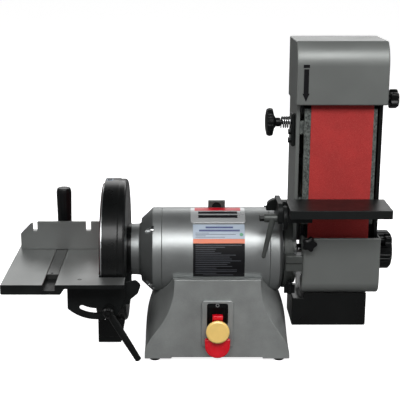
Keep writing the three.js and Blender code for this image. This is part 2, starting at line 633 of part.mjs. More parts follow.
function addBeltTable(arm) {
  const [y, z] = BELT_TABLE_PIVOT;
  const hole = bar('x', 4.4, [90, 120], BELT_TABLE_PIVOT, 20);
  const upright = block([96.3, 104], [y - 11, -25], [71.7, 104]);
  const foot = block([103.5, ARM_LEFT[0] - GAP], [-41, -25], [71.7, 95]);
  addPiece(arm, 'table_support_arm', 'cast_black', cut(join(upright, foot), hole));
  addPiece(arm, 'belt_table', 'table_black', block(BELT_TABLE.x, BELT_TABLE.y, BELT_TABLE.z));
  const pad = block([110, 150], [y - 24, y + 20], [z - 2, BELT_TABLE.z[0] - GAP]);
  const cheek = bar('x', 20, [104.3, 111.7], BELT_TABLE_PIVOT, 32);
  addPiece(arm, 'belt_table_bracket', 'cast_black', cut(join(pad, cheek), hole));

  const boss = join(bar('x', 7, [74, 96], [0, 0], 24), bar('x', 4.1, [73, 111.5], [0, 0], 20));
  const head = hexagon('x', 5.5, [66.5, 74], [0, 0]);
  const hanging = prism('y', [[-5, 0], [5, 0], [3.6, -66], [0, -69.5], [-3.6, -66]], [-9, 0]);
  const grip = hanging.rotate([0, 12, 0]).translate([88, 0, 0]);
  addPiece(arm, 'belt_table_lever', 'cast_black', join(boss, head, grip), [0, y, z]);
}

function addBeltArm(machine) {
  const arm = addGroup(machine, [0, 0, AXIS_Z]);
  addArmFrame(arm);
  addBelt(arm);
  addBeltGuards(arm);
  addIdler(arm);
  addKnobs(arm);
  addBeltTable(arm);
}

// ---- switch ---------------------------------------------------------------------------
function addSwitch(machine) {
  const face = (z, out) => [-baseHalfDepth(z) - out, z];
  const bezelSide = [face(28.9, GAP), face(28.9, 5.5), face(109.4, 5.5), face(109.4, GAP)];
  const bezel = prism('x', bezelSide, [-26.4, 26.4]);
  const pocket = block([-16, 16], [-95, -76], [20, 97]);
  const body = block([-18.2, 18.2], [-81, -60.5], [26.8, 105.7]);
  addPiece(machine, 'switch_body', 'plastic_black', cut(join(bezel, body), pocket));

  const [, y, z] = PADDLE_PIVOT;
  const tab = block([-8.8, 8.8], [-11.5, -1], [5, 12.6]);
  const web = block([-13, 13], [-6.5, -2], [-44, 11]);
  const scoopShape = new THREE.Shape();
  scoopShape.moveTo(21.5, -28);
  scoopShape.lineTo(21, -40);
  scoopShape.absellipse(0, -40, 21, -40 - (12.4 - z), 0, Math.PI, true);
  scoopShape.lineTo(-21.5, -28);
  const scoop = prism('y', scoopShape, [-15, -5.5]);
  const keySlot = block([-6.3, 6.3], [-10, 0], [KEY_Z - z - 6.3, KEY_Z - z + 6.3]);
  addPiece(machine, 'switch_paddle', 'paddle_red', cut(join(tab, web, scoop), keySlot), PADDLE_PIVOT);
  const button = bar('y', 19.6, [-22, -15.3], [0, KEY_Z - z], 28);
  const shank = block([-6, 6], [-16, -1], [KEY_Z - z - 6, KEY_Z - z + 6]);
  addPiece(machine, 'safety_key', 'key_yellow', join(button, shank), [0, y, z]);
}

// ---- machine --------------------------------------------------------------------------
const machine = new THREE.Group();
const centred = addGroup(machine, ORIGIN);
addBase(centred);
const motor = addMotor(centred);
addArbor(motor);
addDiscGuard(motor);
addDiscTable(centred);
addBeltArm(centred);
addSwitch(centred);

export default machine;
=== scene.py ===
"""Looks of the bench belt and disc sander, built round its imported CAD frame.

Shapes are made in millimetres in the machine's own frame: X along the motor axis from the
middle of the base, Y back from the motor axis, Z up from the bench. Pieces of the motor and
of the belt arm measure Z from the motor axis.
"""
import json
import math

import bmesh
import bpy
from mathutils import Euler, Matrix, Vector

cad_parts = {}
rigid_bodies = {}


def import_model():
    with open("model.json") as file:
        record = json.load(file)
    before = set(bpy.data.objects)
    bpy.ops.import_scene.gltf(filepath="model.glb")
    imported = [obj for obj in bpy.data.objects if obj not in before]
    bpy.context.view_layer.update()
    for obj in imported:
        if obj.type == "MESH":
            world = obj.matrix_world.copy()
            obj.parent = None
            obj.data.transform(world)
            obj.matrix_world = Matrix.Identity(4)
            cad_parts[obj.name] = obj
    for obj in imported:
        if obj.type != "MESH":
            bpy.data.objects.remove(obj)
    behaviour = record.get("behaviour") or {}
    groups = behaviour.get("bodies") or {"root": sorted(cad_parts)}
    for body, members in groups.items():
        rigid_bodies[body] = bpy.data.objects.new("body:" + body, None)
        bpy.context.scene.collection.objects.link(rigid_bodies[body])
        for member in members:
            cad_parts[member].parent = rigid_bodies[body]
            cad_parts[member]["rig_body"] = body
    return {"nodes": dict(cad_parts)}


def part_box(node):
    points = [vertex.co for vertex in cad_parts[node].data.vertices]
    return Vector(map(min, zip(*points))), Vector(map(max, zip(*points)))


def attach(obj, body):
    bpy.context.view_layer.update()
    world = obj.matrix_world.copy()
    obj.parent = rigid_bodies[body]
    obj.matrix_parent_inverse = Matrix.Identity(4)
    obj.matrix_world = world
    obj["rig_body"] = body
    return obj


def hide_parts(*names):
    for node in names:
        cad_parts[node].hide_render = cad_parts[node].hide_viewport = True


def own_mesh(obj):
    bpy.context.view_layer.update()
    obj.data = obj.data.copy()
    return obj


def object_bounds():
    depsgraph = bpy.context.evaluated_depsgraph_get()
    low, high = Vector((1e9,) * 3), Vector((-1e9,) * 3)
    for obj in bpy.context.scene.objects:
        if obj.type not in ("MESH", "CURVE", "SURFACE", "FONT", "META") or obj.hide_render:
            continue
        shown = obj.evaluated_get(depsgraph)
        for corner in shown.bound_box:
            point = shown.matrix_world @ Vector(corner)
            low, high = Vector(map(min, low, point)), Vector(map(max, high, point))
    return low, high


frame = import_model()
CAD_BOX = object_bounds()

# ---- the machine's frame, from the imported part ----
SHELL_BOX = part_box("motor_shell")
CASTING_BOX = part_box("base_casting")
ORIGIN = Vector((
    (CASTING_BOX[0].x + CASTING_BOX[1].x) / 2,
    (SHELL_BOX[0].y + SHELL_BOX[1].y) / 2,
    0,
))
AXIS_Z = (SHELL_BOX[0].z + SHELL_BOX[1].z) * 500     # motor axis above the bench, mm
MOTOR_R = (SHELL_BOX[1].z - SHELL_BOX[0].z) * 500
TABLE_PIVOT = (-197.4, 166)      # X and Z of the disc table's tilt axis, Z from the bench
TABLE_LOCK = (-177.7, 114.7)     # X and Z of the disc table's lock lever, Z from the bench
BELT_TABLE_AXIS = (-88, 79.7)    # Y and Z of the belt table's tilt axis
TRACKING_AXIS = (-25, 227)       # Y and Z of the tracking knob
GUARD_KNOB = (-20, 264.5)        # Y and Z of the knob that holds the upper guard
COVER_KNOB = (150.5, 32.4)       # X and Z of the knob that holds the lower guard
COLLAR_BOLT = (133.5, -74)       # X and Y of the bolt through the clamp collar
DRUM_SPACING = 298

scene = bpy.context.scene
scene.view_settings.view_transform = "Standard"


# ---- solids ----------------------------------
def temporary(bm, name="part"):
    """A linked object from a bmesh whose faces are turned outwards."""
    bmesh.ops.remove_doubles(bm, verts=bm.verts, dist=1e-5)
    bmesh.ops.recalc_face_normals(bm, faces=bm.faces)
    mesh = bpy.data.meshes.new(name)
    bm.to_mesh(mesh)
    bm.free()
    obj = bpy.data.objects.new(name, mesh)
    scene.collection.objects.link(obj)
    return obj


def lay(axis, along, a, b):
    """A point from its distance along an axis and its other two coordinates in X, Y, Z order."""
    return {"x": (along, a, b), "y": (a, along, b), "z": (a, b, along)}[axis]


def rounded(points, radius, closed=True, steps=5):
    """Rounds the corners of an outline. A point's third value is its own radius."""
    out = []
    count = len(points)
    for i, point in enumerate(points):
        here = Vector(point[:2])
        own = point[2] if len(point) > 2 else radius
        if own <= 0 or (not closed and i in (0, count - 1)):
            out.append(tuple(here))
            continue
        before = Vector(points[i - 1][:2]) - here
        after = Vector(points[(i + 1) % count][:2]) - here
        half = before.angle(after) / 2
        reach = min(own / math.tan(half), 0.49 * before.length, 0.49 * after.length)
        before.normalize()
        after.normalize()
        middle = here + (before + after).normalized() * (reach / math.cos(half))
        own = reach * math.tan(half)
        start = here + before * reach - middle
        end = here + after * reach - middle
        for k in range(steps + 1):
            turn = (start * (1 - k / steps) + end * (k / steps)).normalized()
            out.append(tuple(middle + turn * own))
    return out


def arc(centre, radius, from_deg, to_deg, steps=16):
    angles = [math.radians(from_deg + (to_deg - from_deg) * k / steps) for k in range(steps + 1)]
    return [(centre[0] + radius * math.cos(a), centre[1] + radius * math.sin(a)) for a in angles]


def skin(rings, wrap=False):
    """A closed solid through rings of points, capped or joined from the last ring to the first."""
    bm = bmesh.new()
    made = [[bm.verts.new(point) for point in ring] for ring in rings]
    pairs = list(zip(made, made[1:]))
    if wrap:
        pairs.append((made[-1], made[0]))
    elif len(made[0]) > 2:
        bm.faces.new(made[0])
        bm.faces.new(made[-1])
    for a, b in pairs:
        count = max(len(a), len(b))
        for k in range(count):
            j = (k + 1) % count
            corners = (a[k % len(a)], a[j % len(a)], b[j % len(b)], b[k % len(b)])
            corners = list(dict.fromkeys(corners))
            if len(corners) > 2:
                bm.faces.new(corners)
    return temporary(bm)


def prism(axis, outline, span):
    """An outline pushed along an axis. X outlines are (Y, Z), Y ones (X, Z), Z ones (X, Y)."""
    return skin([[lay(axis, at, *p) for p in outline] for at in span])


def block(x, y, z):
    return prism("z", [(x[0], y[0]), (x[1], y[0]), (x[1], y[1]), (x[0], y[1])], z)


def lathe(axis, profile, centre=(0, 0), sides=96, shape=None):
    """A turned body. Profile points are (radius, along); shape(angle, radius) bends the round."""
    rings = []
    for radius, along in profile:
        if radius < 1e-6:
            rings.append([lay(axis, along, *centre)])
            continue
        ring = []
        for k in range(sides):
            angle = 2 * math.pi * k / sides
            r = shape(angle, radius) if shape else radius
            at = (centre[0] + r * math.cos(angle), centre[1] + r * math.sin(angle))
            ring.append(lay(axis, along, *at))
        rings.append(ring)
    return skin(rings, wrap=profile[0][0] > 1e-6)


def turned(axis, profile, soft, centre=(0, 0), sides=96, steps=5, shape=None):
    """A turned body whose open profile has its corners rounded by soft."""
    return lathe(axis, rounded(profile, soft, closed=False, steps=steps), centre, sides, shape)


def grooved(depth, count, above):
    """A shape for lathe: grooves along the parts that are wider than a radius."""
    def shape(angle, radius):
        return radius - (depth * max(0.0, math.cos(count * angle)) if radius > above else 0)

    return shape


def rod(axis, radius, span, centre=(0, 0), sides=48, edge=0.0):
    """A round bar whose rims are rounded by edge."""
    profile = [(0, span[0]), (radius, span[0]), (radius, span[1]), (0, span[1])]
    if edge:
        profile = rounded(profile, edge, closed=False, steps=3)
    return lathe(axis, profile, centre, sides)


def ring(axis, outer, inner, span, centre=(0, 0), sides=96, edge=0.4):
    profile = [(inner, span[0]), (outer, span[0]), (outer, span[1]), (inner, span[1])]
    return lathe(axis, rounded(profile, edge, steps=2), centre, sides)


def tube(points, radius, sides=10, closed=False):
    """A round wire through points, its ends closed flat."""
    count = len(points)
    rings = []
    normal = None
    for i, point in enumerate(points):
        ahead = points[(i + 1) % count] if closed else points[min(i + 1, count - 1)]
        behind = points[i - 1] if closed or i else points[0]
        along = (Vector(ahead) - Vector(behind)).normalized()
        if normal is None:
            normal = along.orthogonal().normalized()
        normal = (normal - along * normal.dot(along)).normalized()
        other = along.cross(normal)
        turns = [2 * math.pi * k / sides for k in range(sides)]
        rings.append([
            Vector(point) + (normal * math.cos(t) + other * math.sin(t)) * radius for t in turns
        ])
    return skin(rings, closed)


def applied(obj):
    """Turns an object's modifiers into its mesh."""
    graph = bpy.context.evaluated_depsgraph_get()
    mesh = bpy.data.meshes.new_from_object(obj.evaluated_get(graph))
    old = obj.data
    obj.modifiers.clear()
    obj.data = mesh
    bpy.data.meshes.remove(old)
    return obj


def boolean(whole, tools, operation):
    for tool in tools:
        modifier = whole.modifiers.new("boolean", "BOOLEAN")
        modifier.operation = operation
        modifier.solver = "MANIFOLD"
        modifier.object = tool
        applied(whole)
        bpy.data.objects.remove(tool)
    return whole


def cut(whole, *tools):
    return boolean(whole, tools, "DIFFERENCE")


def join(whole, *others):
    return boolean(whole, others, "UNION")


def loose(whole, *others):
    """One object of several separate closed bodies."""
    bm = bmesh.new()
    for obj in (whole, *others):
        bm.from_mesh(obj.data)
        if obj is not whole:
            bpy.data.objects.remove(obj)
    bm.to_mesh(whole.data)
    bm.free()
    return whole


def bevel(obj, width, segments=3, angle=32):
    modifier = obj.modifiers.new("bevel", "BEVEL")
    modifier.width = width
    modifier.segments = segments
    modifier.limit_method = "ANGLE"
    modifier.angle_limit = math.radians(angle)
    modifier.use_clamp_overlap = True
    return applied(obj)


def moved(obj, offset=(0, 0, 0), turn=None, about=(0, 0, 0)):
    """Turns an object's mesh by X, Y, Z degrees about a point, then shifts it."""
    about = Vector(about)
    spin = Euler([math.radians(t) for t in turn or (0, 0, 0)]).to_matrix().to_4x4()
    place = Matrix.Translation(Vector(offset) + about) @ spin @ Matrix.Translation(-about)
    obj.data.transform(place)
    return obj


def reshaped(obj, rule, mirrors=False):
    """Moves each vertex to rule(vertex), and turns the faces back out where the rule mirrors."""
    for vertex in obj.data.vertices:
        vertex.co = rule(vertex.co)
    if mirrors:
        obj.data.flip_normals()
    return obj


def sliced(obj, places):
    """Adds edge loops across the mesh at places along Y, so that it can be bent."""
    bm = bmesh.new()
    bm.from_mesh(obj.data)
    normal = Vector((0, 1, 0))
    for at in places:
        whole = bm.verts[:] + bm.edges[:] + bm.faces[:]
        bmesh.ops.bisect_plane(bm, geom=whole, plane_co=normal * at, plane_no=normal)
    bm.to_mesh(obj.data)
    bm.free()
    return obj


# ---- materials -------------------------------
def linear(*rgb):
    """An sRGB colour, 0 to 255, as linear light."""
    parts = [c / 255 for c in rgb]
    return [c / 12.92 if c <= 0.04045 else ((c + 0.055) / 1.055) ** 2.4 for c in parts] + [1.0]


class Nodes:
    """A node tree while it is being put together."""

    def __init__(self, tree):
        self.tree = tree

    def node(self, kind, settings=None, **inputs):
        made = self.tree.nodes.new(kind)
        for key, value in (settings or {}).items():
            setattr(made, key, value)
        for key, value in inputs.items():
            self.put(made.inputs[key.replace("_", " ")], value)
        return made

    def put(self, socket, value):
        if isinstance(value, bpy.types.NodeSocket):
            self.tree.links.new(value, socket)
        else:
            socket.default_value = value

    def span(self, value, low, high, to_low=0.0, to_high=1.0):
        made = self.node("ShaderNodeMapRange", Value=value, From_Min=low, From_Max=high,
                         To_Min=to_low, To_Max=to_high)
        return made.outputs["Result"]

    def math(self, operation, a, b=0.0):
        made = self.node("ShaderNodeMath", {"operation": operation})
        self.put(made.inputs[0], a)
        self.put(made.inputs[1], b)
        return made.outputs[0]

    def mix(self, share, a, b):
        made = self.node("ShaderNodeMix", {"data_type": "RGBA"})
        self.put(made.inputs[0], share)
        self.put(made.inputs[6], a)
        self.put(made.inputs[7], b)
        return made.outputs[2]


class Paint(Nodes):
    """A material's nodes. Sizes are in millimetres."""

    def __init__(self, name):
        self.material = bpy.data.materials.new(name)
        self.material.use_nodes = True
        super().__init__(self.material.node_tree)
        self.surface = self.tree.nodes["Principled BSDF"]
        self.place = self.node("ShaderNodeTexCoord").outputs["Object"]

    def stretched(self, scale):
        return self.node("ShaderNodeMapping", Vector=self.place, Scale=scale).outputs["Vector"]

    def noise(self, size, detail=3.0, roughness=0.55, where=None):
        """Noise whose features are about size across."""
        where = where or self.place
        made = self.node("ShaderNodeTexNoise", Vector=where, Scale=1000 / size, Detail=detail,
                         Roughness=roughness)
        return made.outputs["Fac"]

    def bump(self, height, depth):
        made = self.node("ShaderNodeBump", Height=height, Strength=1.0, Distance=depth / 1000)
        return made.outputs["Normal"]

    def edges(self, radius):
        """Near 1 on the edges of the shape, 0 on its flats."""
        soft = self.node("ShaderNodeBevel", {"samples": 4}, Radius=radius / 1000).outputs["Normal"]
        plain = self.node("ShaderNodeNewGeometry").outputs["Normal"]
        dot = self.node("ShaderNodeVectorMath", {"operation": "DOT_PRODUCT"})
        self.put(dot.inputs[0], soft)
        self.put(dot.inputs[1], plain)
        return self.span(dot.outputs["Value"], 0.995, 0.93)

    def finish(self, colour, rough, metallic=0.0, normal=None, **fixed):
        self.put(self.surface.inputs["Base Color"], colour)
        self.put(self.surface.inputs["Roughness"], rough)
        self.surface.inputs["Metallic"].default_value = metallic
        if normal:
            self.put(self.surface.inputs["Normal"], normal)
        for key, value in fixed.items():
            self.surface.inputs[key.replace("_", " ")].default_value = value
        return self.material


def shade(colour, share):
    """A linear colour made darker or lighter by a factor."""
    return [min(1, c * share) for c in colour[:3]] + [1]


def coating(name, rgb, rough, metallic, vary, patch, grain, relief, speckle=0.1, wear=0.0,
            worn=(150, 150, 148), brushed=None, **fixed):
    """Paint, casting, plastic or metal: patchy tone, fine grain, and painted highlights, which are
    lighter patches along the edges.
    """
    p = Paint(name)
    base = linear(*rgb)
    cloud = p.noise(patch, 4)
    fine = p.noise(grain, 2, 0.6)
    light = shade(base, 1 + vary)
    colour = p.mix(p.span(cloud, 0.35, 0.65), shade(base, 1 - vary), light)
    colour = p.mix(p.span(fine, 0.3, 0.7, 0, speckle), colour, shade(base, 0.45))
    roughness = p.span(cloud, 0.3, 0.7, max(0.03, rough - 0.05), min(1, rough + 0.06))
    height = fine
    if brushed:
        lines = p.noise(1000, 3, 0.6, p.stretched(brushed))
        colour = p.mix(p.span(lines, 0.3, 0.7, 0, 0.35), colour, light)
        height = p.math("ADD", p.math("MULTIPLY", fine, 0.3), lines)
        roughness = p.math("ADD", roughness, p.span(lines, 0.3, 0.7, -0.05, 0.05))
    # painted highlight: lighter patches along the edges stand in for the light that the edges catch
    if wear:
        edge_highlight_mask = p.math("MULTIPLY", p.edges(0.8), p.span(p.noise(6, 4), 0.42, 0.62, 0, wear))
        colour = p.mix(edge_highlight_mask, colour, linear(*worn))
    return p.finish(colour, roughness, metallic, p.bump(height, relief), **fixed)


def abrasive(name, rgb):
    """Resin-bonded grains on cloth: a grain-sized cell pattern with lighter tips."""
    p = Paint(name)
    base = linear(*rgb)
    grain = p.node("ShaderNodeTexVoronoi", Vector=p.place, Scale=1000 / 0.75).outputs["Distance"]
    tone = p.mix(p.span(p.noise(34, 4), 0.35, 0.65), shade(base, 0.9), shade(base, 1.1))
    tone = p.mix(p.span(grain, 0.1, 0.65, 0, 0.55), tone, shade(base, 0.5))
    spark = p.span(p.noise(1.1, 2, 0.7), 0.62, 0.72, 0, 0.35)
    tone = p.mix(spark, tone, linear(214, 120, 112))
    height = p.math("SUBTRACT", 1.0, grain)
    return p.finish(tone, p.span(grain, 0, 0.7, 0.62, 0.9), 0.0, p.bump(height, 0.16),
                    Sheen_Weight=0.08)


def graphite(name):
    """Graphite-faced canvas: dark grey with a scuffed, mottled face."""
    p = Paint(name)
    weave = p.noise(2.6, 3, 0.7, p.stretched((1, 0.7, 0.7)))
    tone = p.mix(p.span(weave, 0.38, 0.6), linear(38, 41, 40), linear(112, 118, 114))
    tone = p.mix(p.span(p.noise(14, 4), 0.4, 0.65, 0, 0.5), tone, linear(66, 70, 68))
    return p.finish(tone, p.span(weave, 0.3, 0.7, 0.5, 0.75), 0.25, p.bump(weave, 0.18))


# look: slot in the record, then coating's arguments: material, sRGB colour, roughness, metallic,
# change of tone, and the size of its patches, grain and relief
# the lighter-edge entries of black, cast, grey_cast and table paint highlights along the edges
LOOKS = {
    "silver": ("silver_paint", "silver_enamel", (150, 153, 153), 0.42, 0.82, 0.05, 60, 0.55, 0.02,
               {"speckle": 0.16}),
    "casting": ("silver_paint", "silver_casting", (164, 167, 166), 0.42, 0.66, 0.08, 38, 1.3, 0.09,
                {"speckle": 0.22}),
    "hood": ("grey_paint", "grey_powder_coat", (112, 115, 113), 0.4, 0.35, 0.04, 90, 0.45, 0.015,
             {"speckle": 0.08}),
    "black": ("black_paint", "black_satin_paint", (14, 15, 15), 0.3, 0, 0.15, 50, 0.6, 0.02,
              {"wear": 0.1, "worn": (50, 52, 52), "Specular_IOR_Level": 0.18,
               "Coat_Weight": 0.12, "Coat_Roughness": 0.12}),
    "cast": ("cast_black", "black_casting", (20, 22, 22), 0.44, 0.1, 0.2, 25, 1.6, 0.11,
             {"wear": 0.3, "worn": (58, 60, 59), "Specular_IOR_Level": 0.18}),
    "grey_cast": ("grey_paint", "grey_casting", (74, 77, 75), 0.42, 0.4, 0.1, 20, 1.4, 0.09,
                  {"wear": 0.2, "worn": (120, 121, 120)}),
    "iron": ("machined_iron", "ground_iron", (130, 132, 131), 0.4, 0.85, 0.03, 90, 0.4, 0.008,
             {"brushed": (0.012, 0.9, 0.9)}),
    "fence": ("machined_iron", "milled_steel", (138, 140, 139), 0.36, 0.88, 0.03, 60, 0.4, 0.012,
              {"brushed": (0.012, 0.9, 0.9)}),
    "bar": ("steel", "drawn_bar", (92, 93, 92), 0.34, 0.85, 0.08, 30, 0.5, 0.02,
            {"brushed": (0.9, 0.012, 0.9)}),
    "table": ("table_black", "blackened_table", (22, 24, 24), 0.4, 0.2, 0.1, 35, 0.5, 0.015,
              {"brushed": (0.015, 0.9, 0.9), "wear": 0.2, "worn": (60, 62, 61),
               "Specular_IOR_Level": 0.3}),
    "steel": ("steel", "bright_steel", (190, 191, 192), 0.22, 0.95, 0.06, 12, 0.3, 0.01),
    "alloy": ("disc_aluminium", "turned_alloy", (175, 176, 177), 0.32, 0.9, 0.06, 30, 0.4, 0.02),
    "plastic": ("black_plastic", "black_plastic", (12, 13, 14), 0.3, 0, 0.1, 30, 0.35, 0.015,
                {"Specular_IOR_Level": 0.2}),
    "red": ("paddle_red", "red_plastic", (214, 6, 30), 0.24, 0, 0.05, 20, 0.5, 0.012,
            {"speckle": 0.03, "Coat_Weight": 0.4, "Coat_Roughness": 0.12}),
    "yellow": ("key_yellow", "yellow_plastic", (246, 208, 122), 0.3, 0, 0.04, 15, 0.5, 0.012,
               {"speckle": 0.03, "Coat_Weight": 0.3, "Coat_Roughness": 0.15}),
    "rubber": ("rubber", "foot_rubber", (24, 24, 24), 0.8, 0, 0.15, 12, 0.8, 0.06),
    "core": ("motor_core", "laminations", (112, 84, 66), 0.5, 0.6, 0.2, 10, 0.5, 0.05,
             {"brushed": (1.2, 0.05, 0.05)}),
    "badge": ("badge", "badge_alloy", (190, 192, 193), 0.3, 0.5, 0.03, 30, 0.3, 0.008),
    "badge_red": ("badge", "badge_red", (190, 10, 34), 0.35, 0, 0.05, 10, 0.4, 0.01),
    "ink": ("badge", "badge_ink", (14, 14, 17), 0.5, 0, 0.08, 10, 0.4, 0.01,
            {"Specular_IOR_Level": 0.15}),
    "label_head": ("label", "label_pale", (158, 170, 184), 0.42, 0, 0.03, 15, 0.6, 0.006,
                   {"speckle": 0.04}),
    "label_band": ("label", "label_orange", (214, 112, 74), 0.42, 0, 0.04, 10, 0.6, 0.006,
                   {"speckle": 0.04}),
    "label_body": ("label", "label_black", (12, 12, 15), 0.5, 0, 0.08, 10, 0.6, 0.006,
                   {"speckle": 0.04, "Specular_IOR_Level": 0.2}),
    "label_line": ("label", "label_grey", (70, 73, 79), 0.5, 0, 0.08, 5, 0.5, 0.004),
    "label_blue": ("label", "label_blue_grey", (72, 80, 120), 0.5, 0, 0.08, 5, 0.5, 0.004),
    "label_green": ("label", "label_green", (88, 150, 116), 0.5, 0, 0.05, 5, 0.5, 0.004),
    "white": ("black_plastic", "switch_print", (150, 152, 152), 0.5, 0, 0.04, 5, 0.4, 0.004),
    "cloth": ("abrasive", "belt_cloth", (120, 92, 70), 0.85, 0, 0.12, 25, 0.5, 0.08,
              {"brushed": (1, 0.2, 0.2)}),
}
MATERIALS = {"grit": abrasive("red_abrasive", (180, 44, 42)), "pad": graphite("graphite_pad")}
for look, (slot, name, rgb, *numbers) in LOOKS.items():
    extra = numbers.pop() if isinstance(numbers[-1], dict) else {}
    MATERIALS[look] = coating(name, rgb, *numbers, **extra)


def piece(obj, name, node, look, up=AXIS_Z, sharp=38, second=None):
    """Makes a solid a piece of the object: lifts it by up, shades it, and ties it to the frame.

    second is (look, rule): faces for which rule(face) holds take that look instead.
    """
    obj.name = name
    obj.data.name = name
    obj.data.transform(Matrix.Translation((0, 0, up)))
    obj.data.materials.clear()
    obj.data.materials.append(MATERIALS[look])
    if second:
        obj.data.materials.append(MATERIALS[second[0]])
        for face in obj.data.polygons:
            face.material_index = int(second[1](face))
    obj.data.transform(Matrix.Translation(ORIGIN) @ Matrix.Scale(0.001, 4))
    obj.data.shade_smooth()
    obj.data.set_sharp_from_angle(angle=math.radians(sharp))
    weighted = obj.modifiers.new("normals", "WEIGHTED_NORMAL")
    weighted.keep_sharp = True
    applied(obj)
    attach(obj, frame["nodes"][node]["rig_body"])
    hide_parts(node)
    return obj


# ---- small hardware --------------------------
def hex_head(axis, across, span, centre=(0, 0)):
    """A hexagon head or nut with its outer corners turned off."""
    outline = arc((0, 0), across / math.sqrt(3), 0, 360, 6)[:-1]
    outline = [(centre[0] + a, centre[1] + b) for a, b in outline]
    low, high = sorted(span)
    face = (high - low) * 0.82
    outward = 1 if span[1] > span[0] else -1
    near, far = span[0], span[0] + outward * face
    rim, tip = across * 0.66, across * 0.48
    cone = [(0, near - outward), (rim, near - outward), (rim, far), (tip, span[1]), (0, span[1])]
    return boolean(prism(axis, outline, (low, high)), [lathe(axis, cone, centre, 48)], "INTERSECT")


def socket_screw(axis, radius, span, centre=(0, 0)):
    """A cap screw whose outer end, span's second value, holds a hexagon socket."""
    head = rod(axis, radius, span, centre, 40, edge=radius * 0.12)
    depth = span[1] - (span[1] - span[0]) * 0.6
    hole = arc((0, 0), radius * 0.55, 0, 360, 6)[:-1]
    hole = [(centre[0] + a, centre[1] + b) for a, b in hole]
    return cut(head, prism(axis, hole, sorted((depth, span[1] + (span[1] - span[0])))))


def star_knob(stem_radius, stem_length, head_radius, head_length, lobes=5):
    """A lobed plastic knob along +X from the origin, its head domed at the end."""
    def lobed(angle, radius):
        share = radius / head_radius
        return radius * (1 - 0.27 * share * (1 - math.cos(lobes * angle)) / 2)

    end = stem_length + head_length
    head = turned("x", [
        (0, stem_length), (head_radius, stem_length), (head_radius, end - 2),
        (head_radius * 0.55, end), (0, end),
    ], head_length * 0.16, sides=lobes * 24, shape=lobed)
    collar = head_radius * 0.42
    neck = turned("x", [
        (0, 1), (stem_radius, 1), (stem_radius, stem_length * 0.75), (collar, stem_length * 0.85),
        (collar, stem_length + 1), (0, stem_length + 1),
    ], 1.2, sides=40)
    stem = rod("x", stem_radius * 0.98, (0, stem_length * 0.5), sides=32, edge=0.4)
    return join(head, neck, stem)


def coil(radius, length, turns, wire):
    """A compression spring along +Z with closed end turns."""
    points = []
    for k in range(turns * 28 + 1):
        t = k / (turns * 28)
        lift = wire + (length - 2 * wire) * (t + 0.06 * math.sin(2 * math.pi * t) / math.pi)
        angle = 2 * math.pi * turns * t
        points.append((radius * math.cos(angle), radius * math.sin(angle), lift))
    return tube(points, wire, sides=12)


def lever_arm(length, wide, narrow, thick):
    """A tapered clamping lever hanging from the origin along -Z, flat towards Y."""
    rings = []
    for k in range(13):
        t = k / 12
        swell = 1 + 0.1 * math.sin(math.pi * min(1, t * 1.1)) * t
        half = (wide + (narrow - wide) * t) * swell
        deep = thick * (1 - 0.25 * t) * swell
        z = -length * t
        rings.append([
            (half * math.cos(a), deep * math.sin(a), z)
            for a in [2 * math.pi * i / 24 for i in range(24)]
        ])
    for shrink, drop in ((0.86, 1.2), (0.5, 2.3)):
        rings.append([(x * shrink, y * shrink, z - drop) for x, y, z in rings[12]])
    return skin(rings)


# ---- base ------------------------------------
BASE_TOP, BASE_BOTTOM = 144, 5.5
FACE_TOP, WAIST_TOP, FOOT_HALF = 72.2, 80, 122.8


def base_depth(z):
    """Distance of the base's front face from the motor axis at a height."""
    return 83 - 5 * (z - BASE_BOTTOM) / (BASE_TOP - BASE_BOTTOM)


def face_edge(t):
    """X and Z of the flared edge of the front face, a cubic curve from bottom to top."""
    points = [(FOOT_HALF, BASE_BOTTOM), (FOOT_HALF + 3.2, 50), (FACE_TOP - 2.2, 62),
              (FACE_TOP, BASE_TOP)]
    weights = [(1 - t) ** 3, 3 * t * (1 - t) ** 2, 3 * t * t * (1 - t), t ** 3]
    return [sum(w * p[i] for w, p in zip(weights, points)) for i in (0, 1)]


def base_solid():
    rings = []
    for k in range(33):
        half, z = face_edge(k / 32)
        height = (z - BASE_BOTTOM) / (BASE_TOP - BASE_BOTTOM)
        waist = FOOT_HALF + (WAIST_TOP - FOOT_HALF) * height ** 3
        end = []
        for i in range(25):
            side = -math.cos(math.pi * i / 24)
            end.append((waist + (half - waist) * abs(side) ** 2.6, side * base_depth(z), z))
        rings.append(end + [(-x, -y, z) for x, y, z in end])
    body = bevel(skin(rings), 2.6, 4, 40)
    arch = [(-84, 0), (84, 0), (76, 8), (-76, 8)]
    cavity = [face_edge(t / 12) for t in range(13)]
    cavity = [(x - 8, BASE_BOTTOM - 8 + (z - BASE_BOTTOM) * 0.68) for x, z in cavity]
    cavity += [(-x, z) for x, z in reversed(cavity)]
    return cut(
        body,
        rod("x", MOTOR_R + 0.4, (-130, 130), (0, AXIS_Z), 128),
        prism("y", arch, (-90, 90)),
        prism("y", cavity, (-74, 74)),
        block((-18.5, 18.5), (-95, -60), (26.5, 106)),
        rod("y", 8.3, (70, 90), (60, 40), 40),
    )


def build_base():
    piece(base_solid(), "base_pedestal", "base_casting", "casting", sharp=30, up=0)
    foot = [(0, 0), (8, 0), (9.5, 1.5), (9.5, 5.2), (0, 5.2)]
    for depth, y in (("front", -70), ("rear", 70)):
        for side, x in (("left", -105.5), ("right", 105.5)):
            pad = turned("z", foot, 0.9, (x, y), 40, 3)
            pad = cut(pad, rod("z", 3, (-1, 2), (x, y), 24))
            piece(pad, f"bench_foot_{depth}_{side}", f"foot_{depth}_{side}", "rubber", up=0)
    gland = rounded([
        (3.6, 62), (7, 62), (8, 66), (8, 83.3), (12, 83.3), (12, 88), (8, 90), (7.4, 94),
        (6.2, 94.6), (6.8, 97.5), (5.9, 98.1), (6.4, 101), (5.6, 101.6), (6, 106), (3.6, 106),
    ], 0.4, steps=2)
    piece(lathe("y", gland, (60, 40), 40), "cord_bush", "cord_gland", "plastic", up=0)


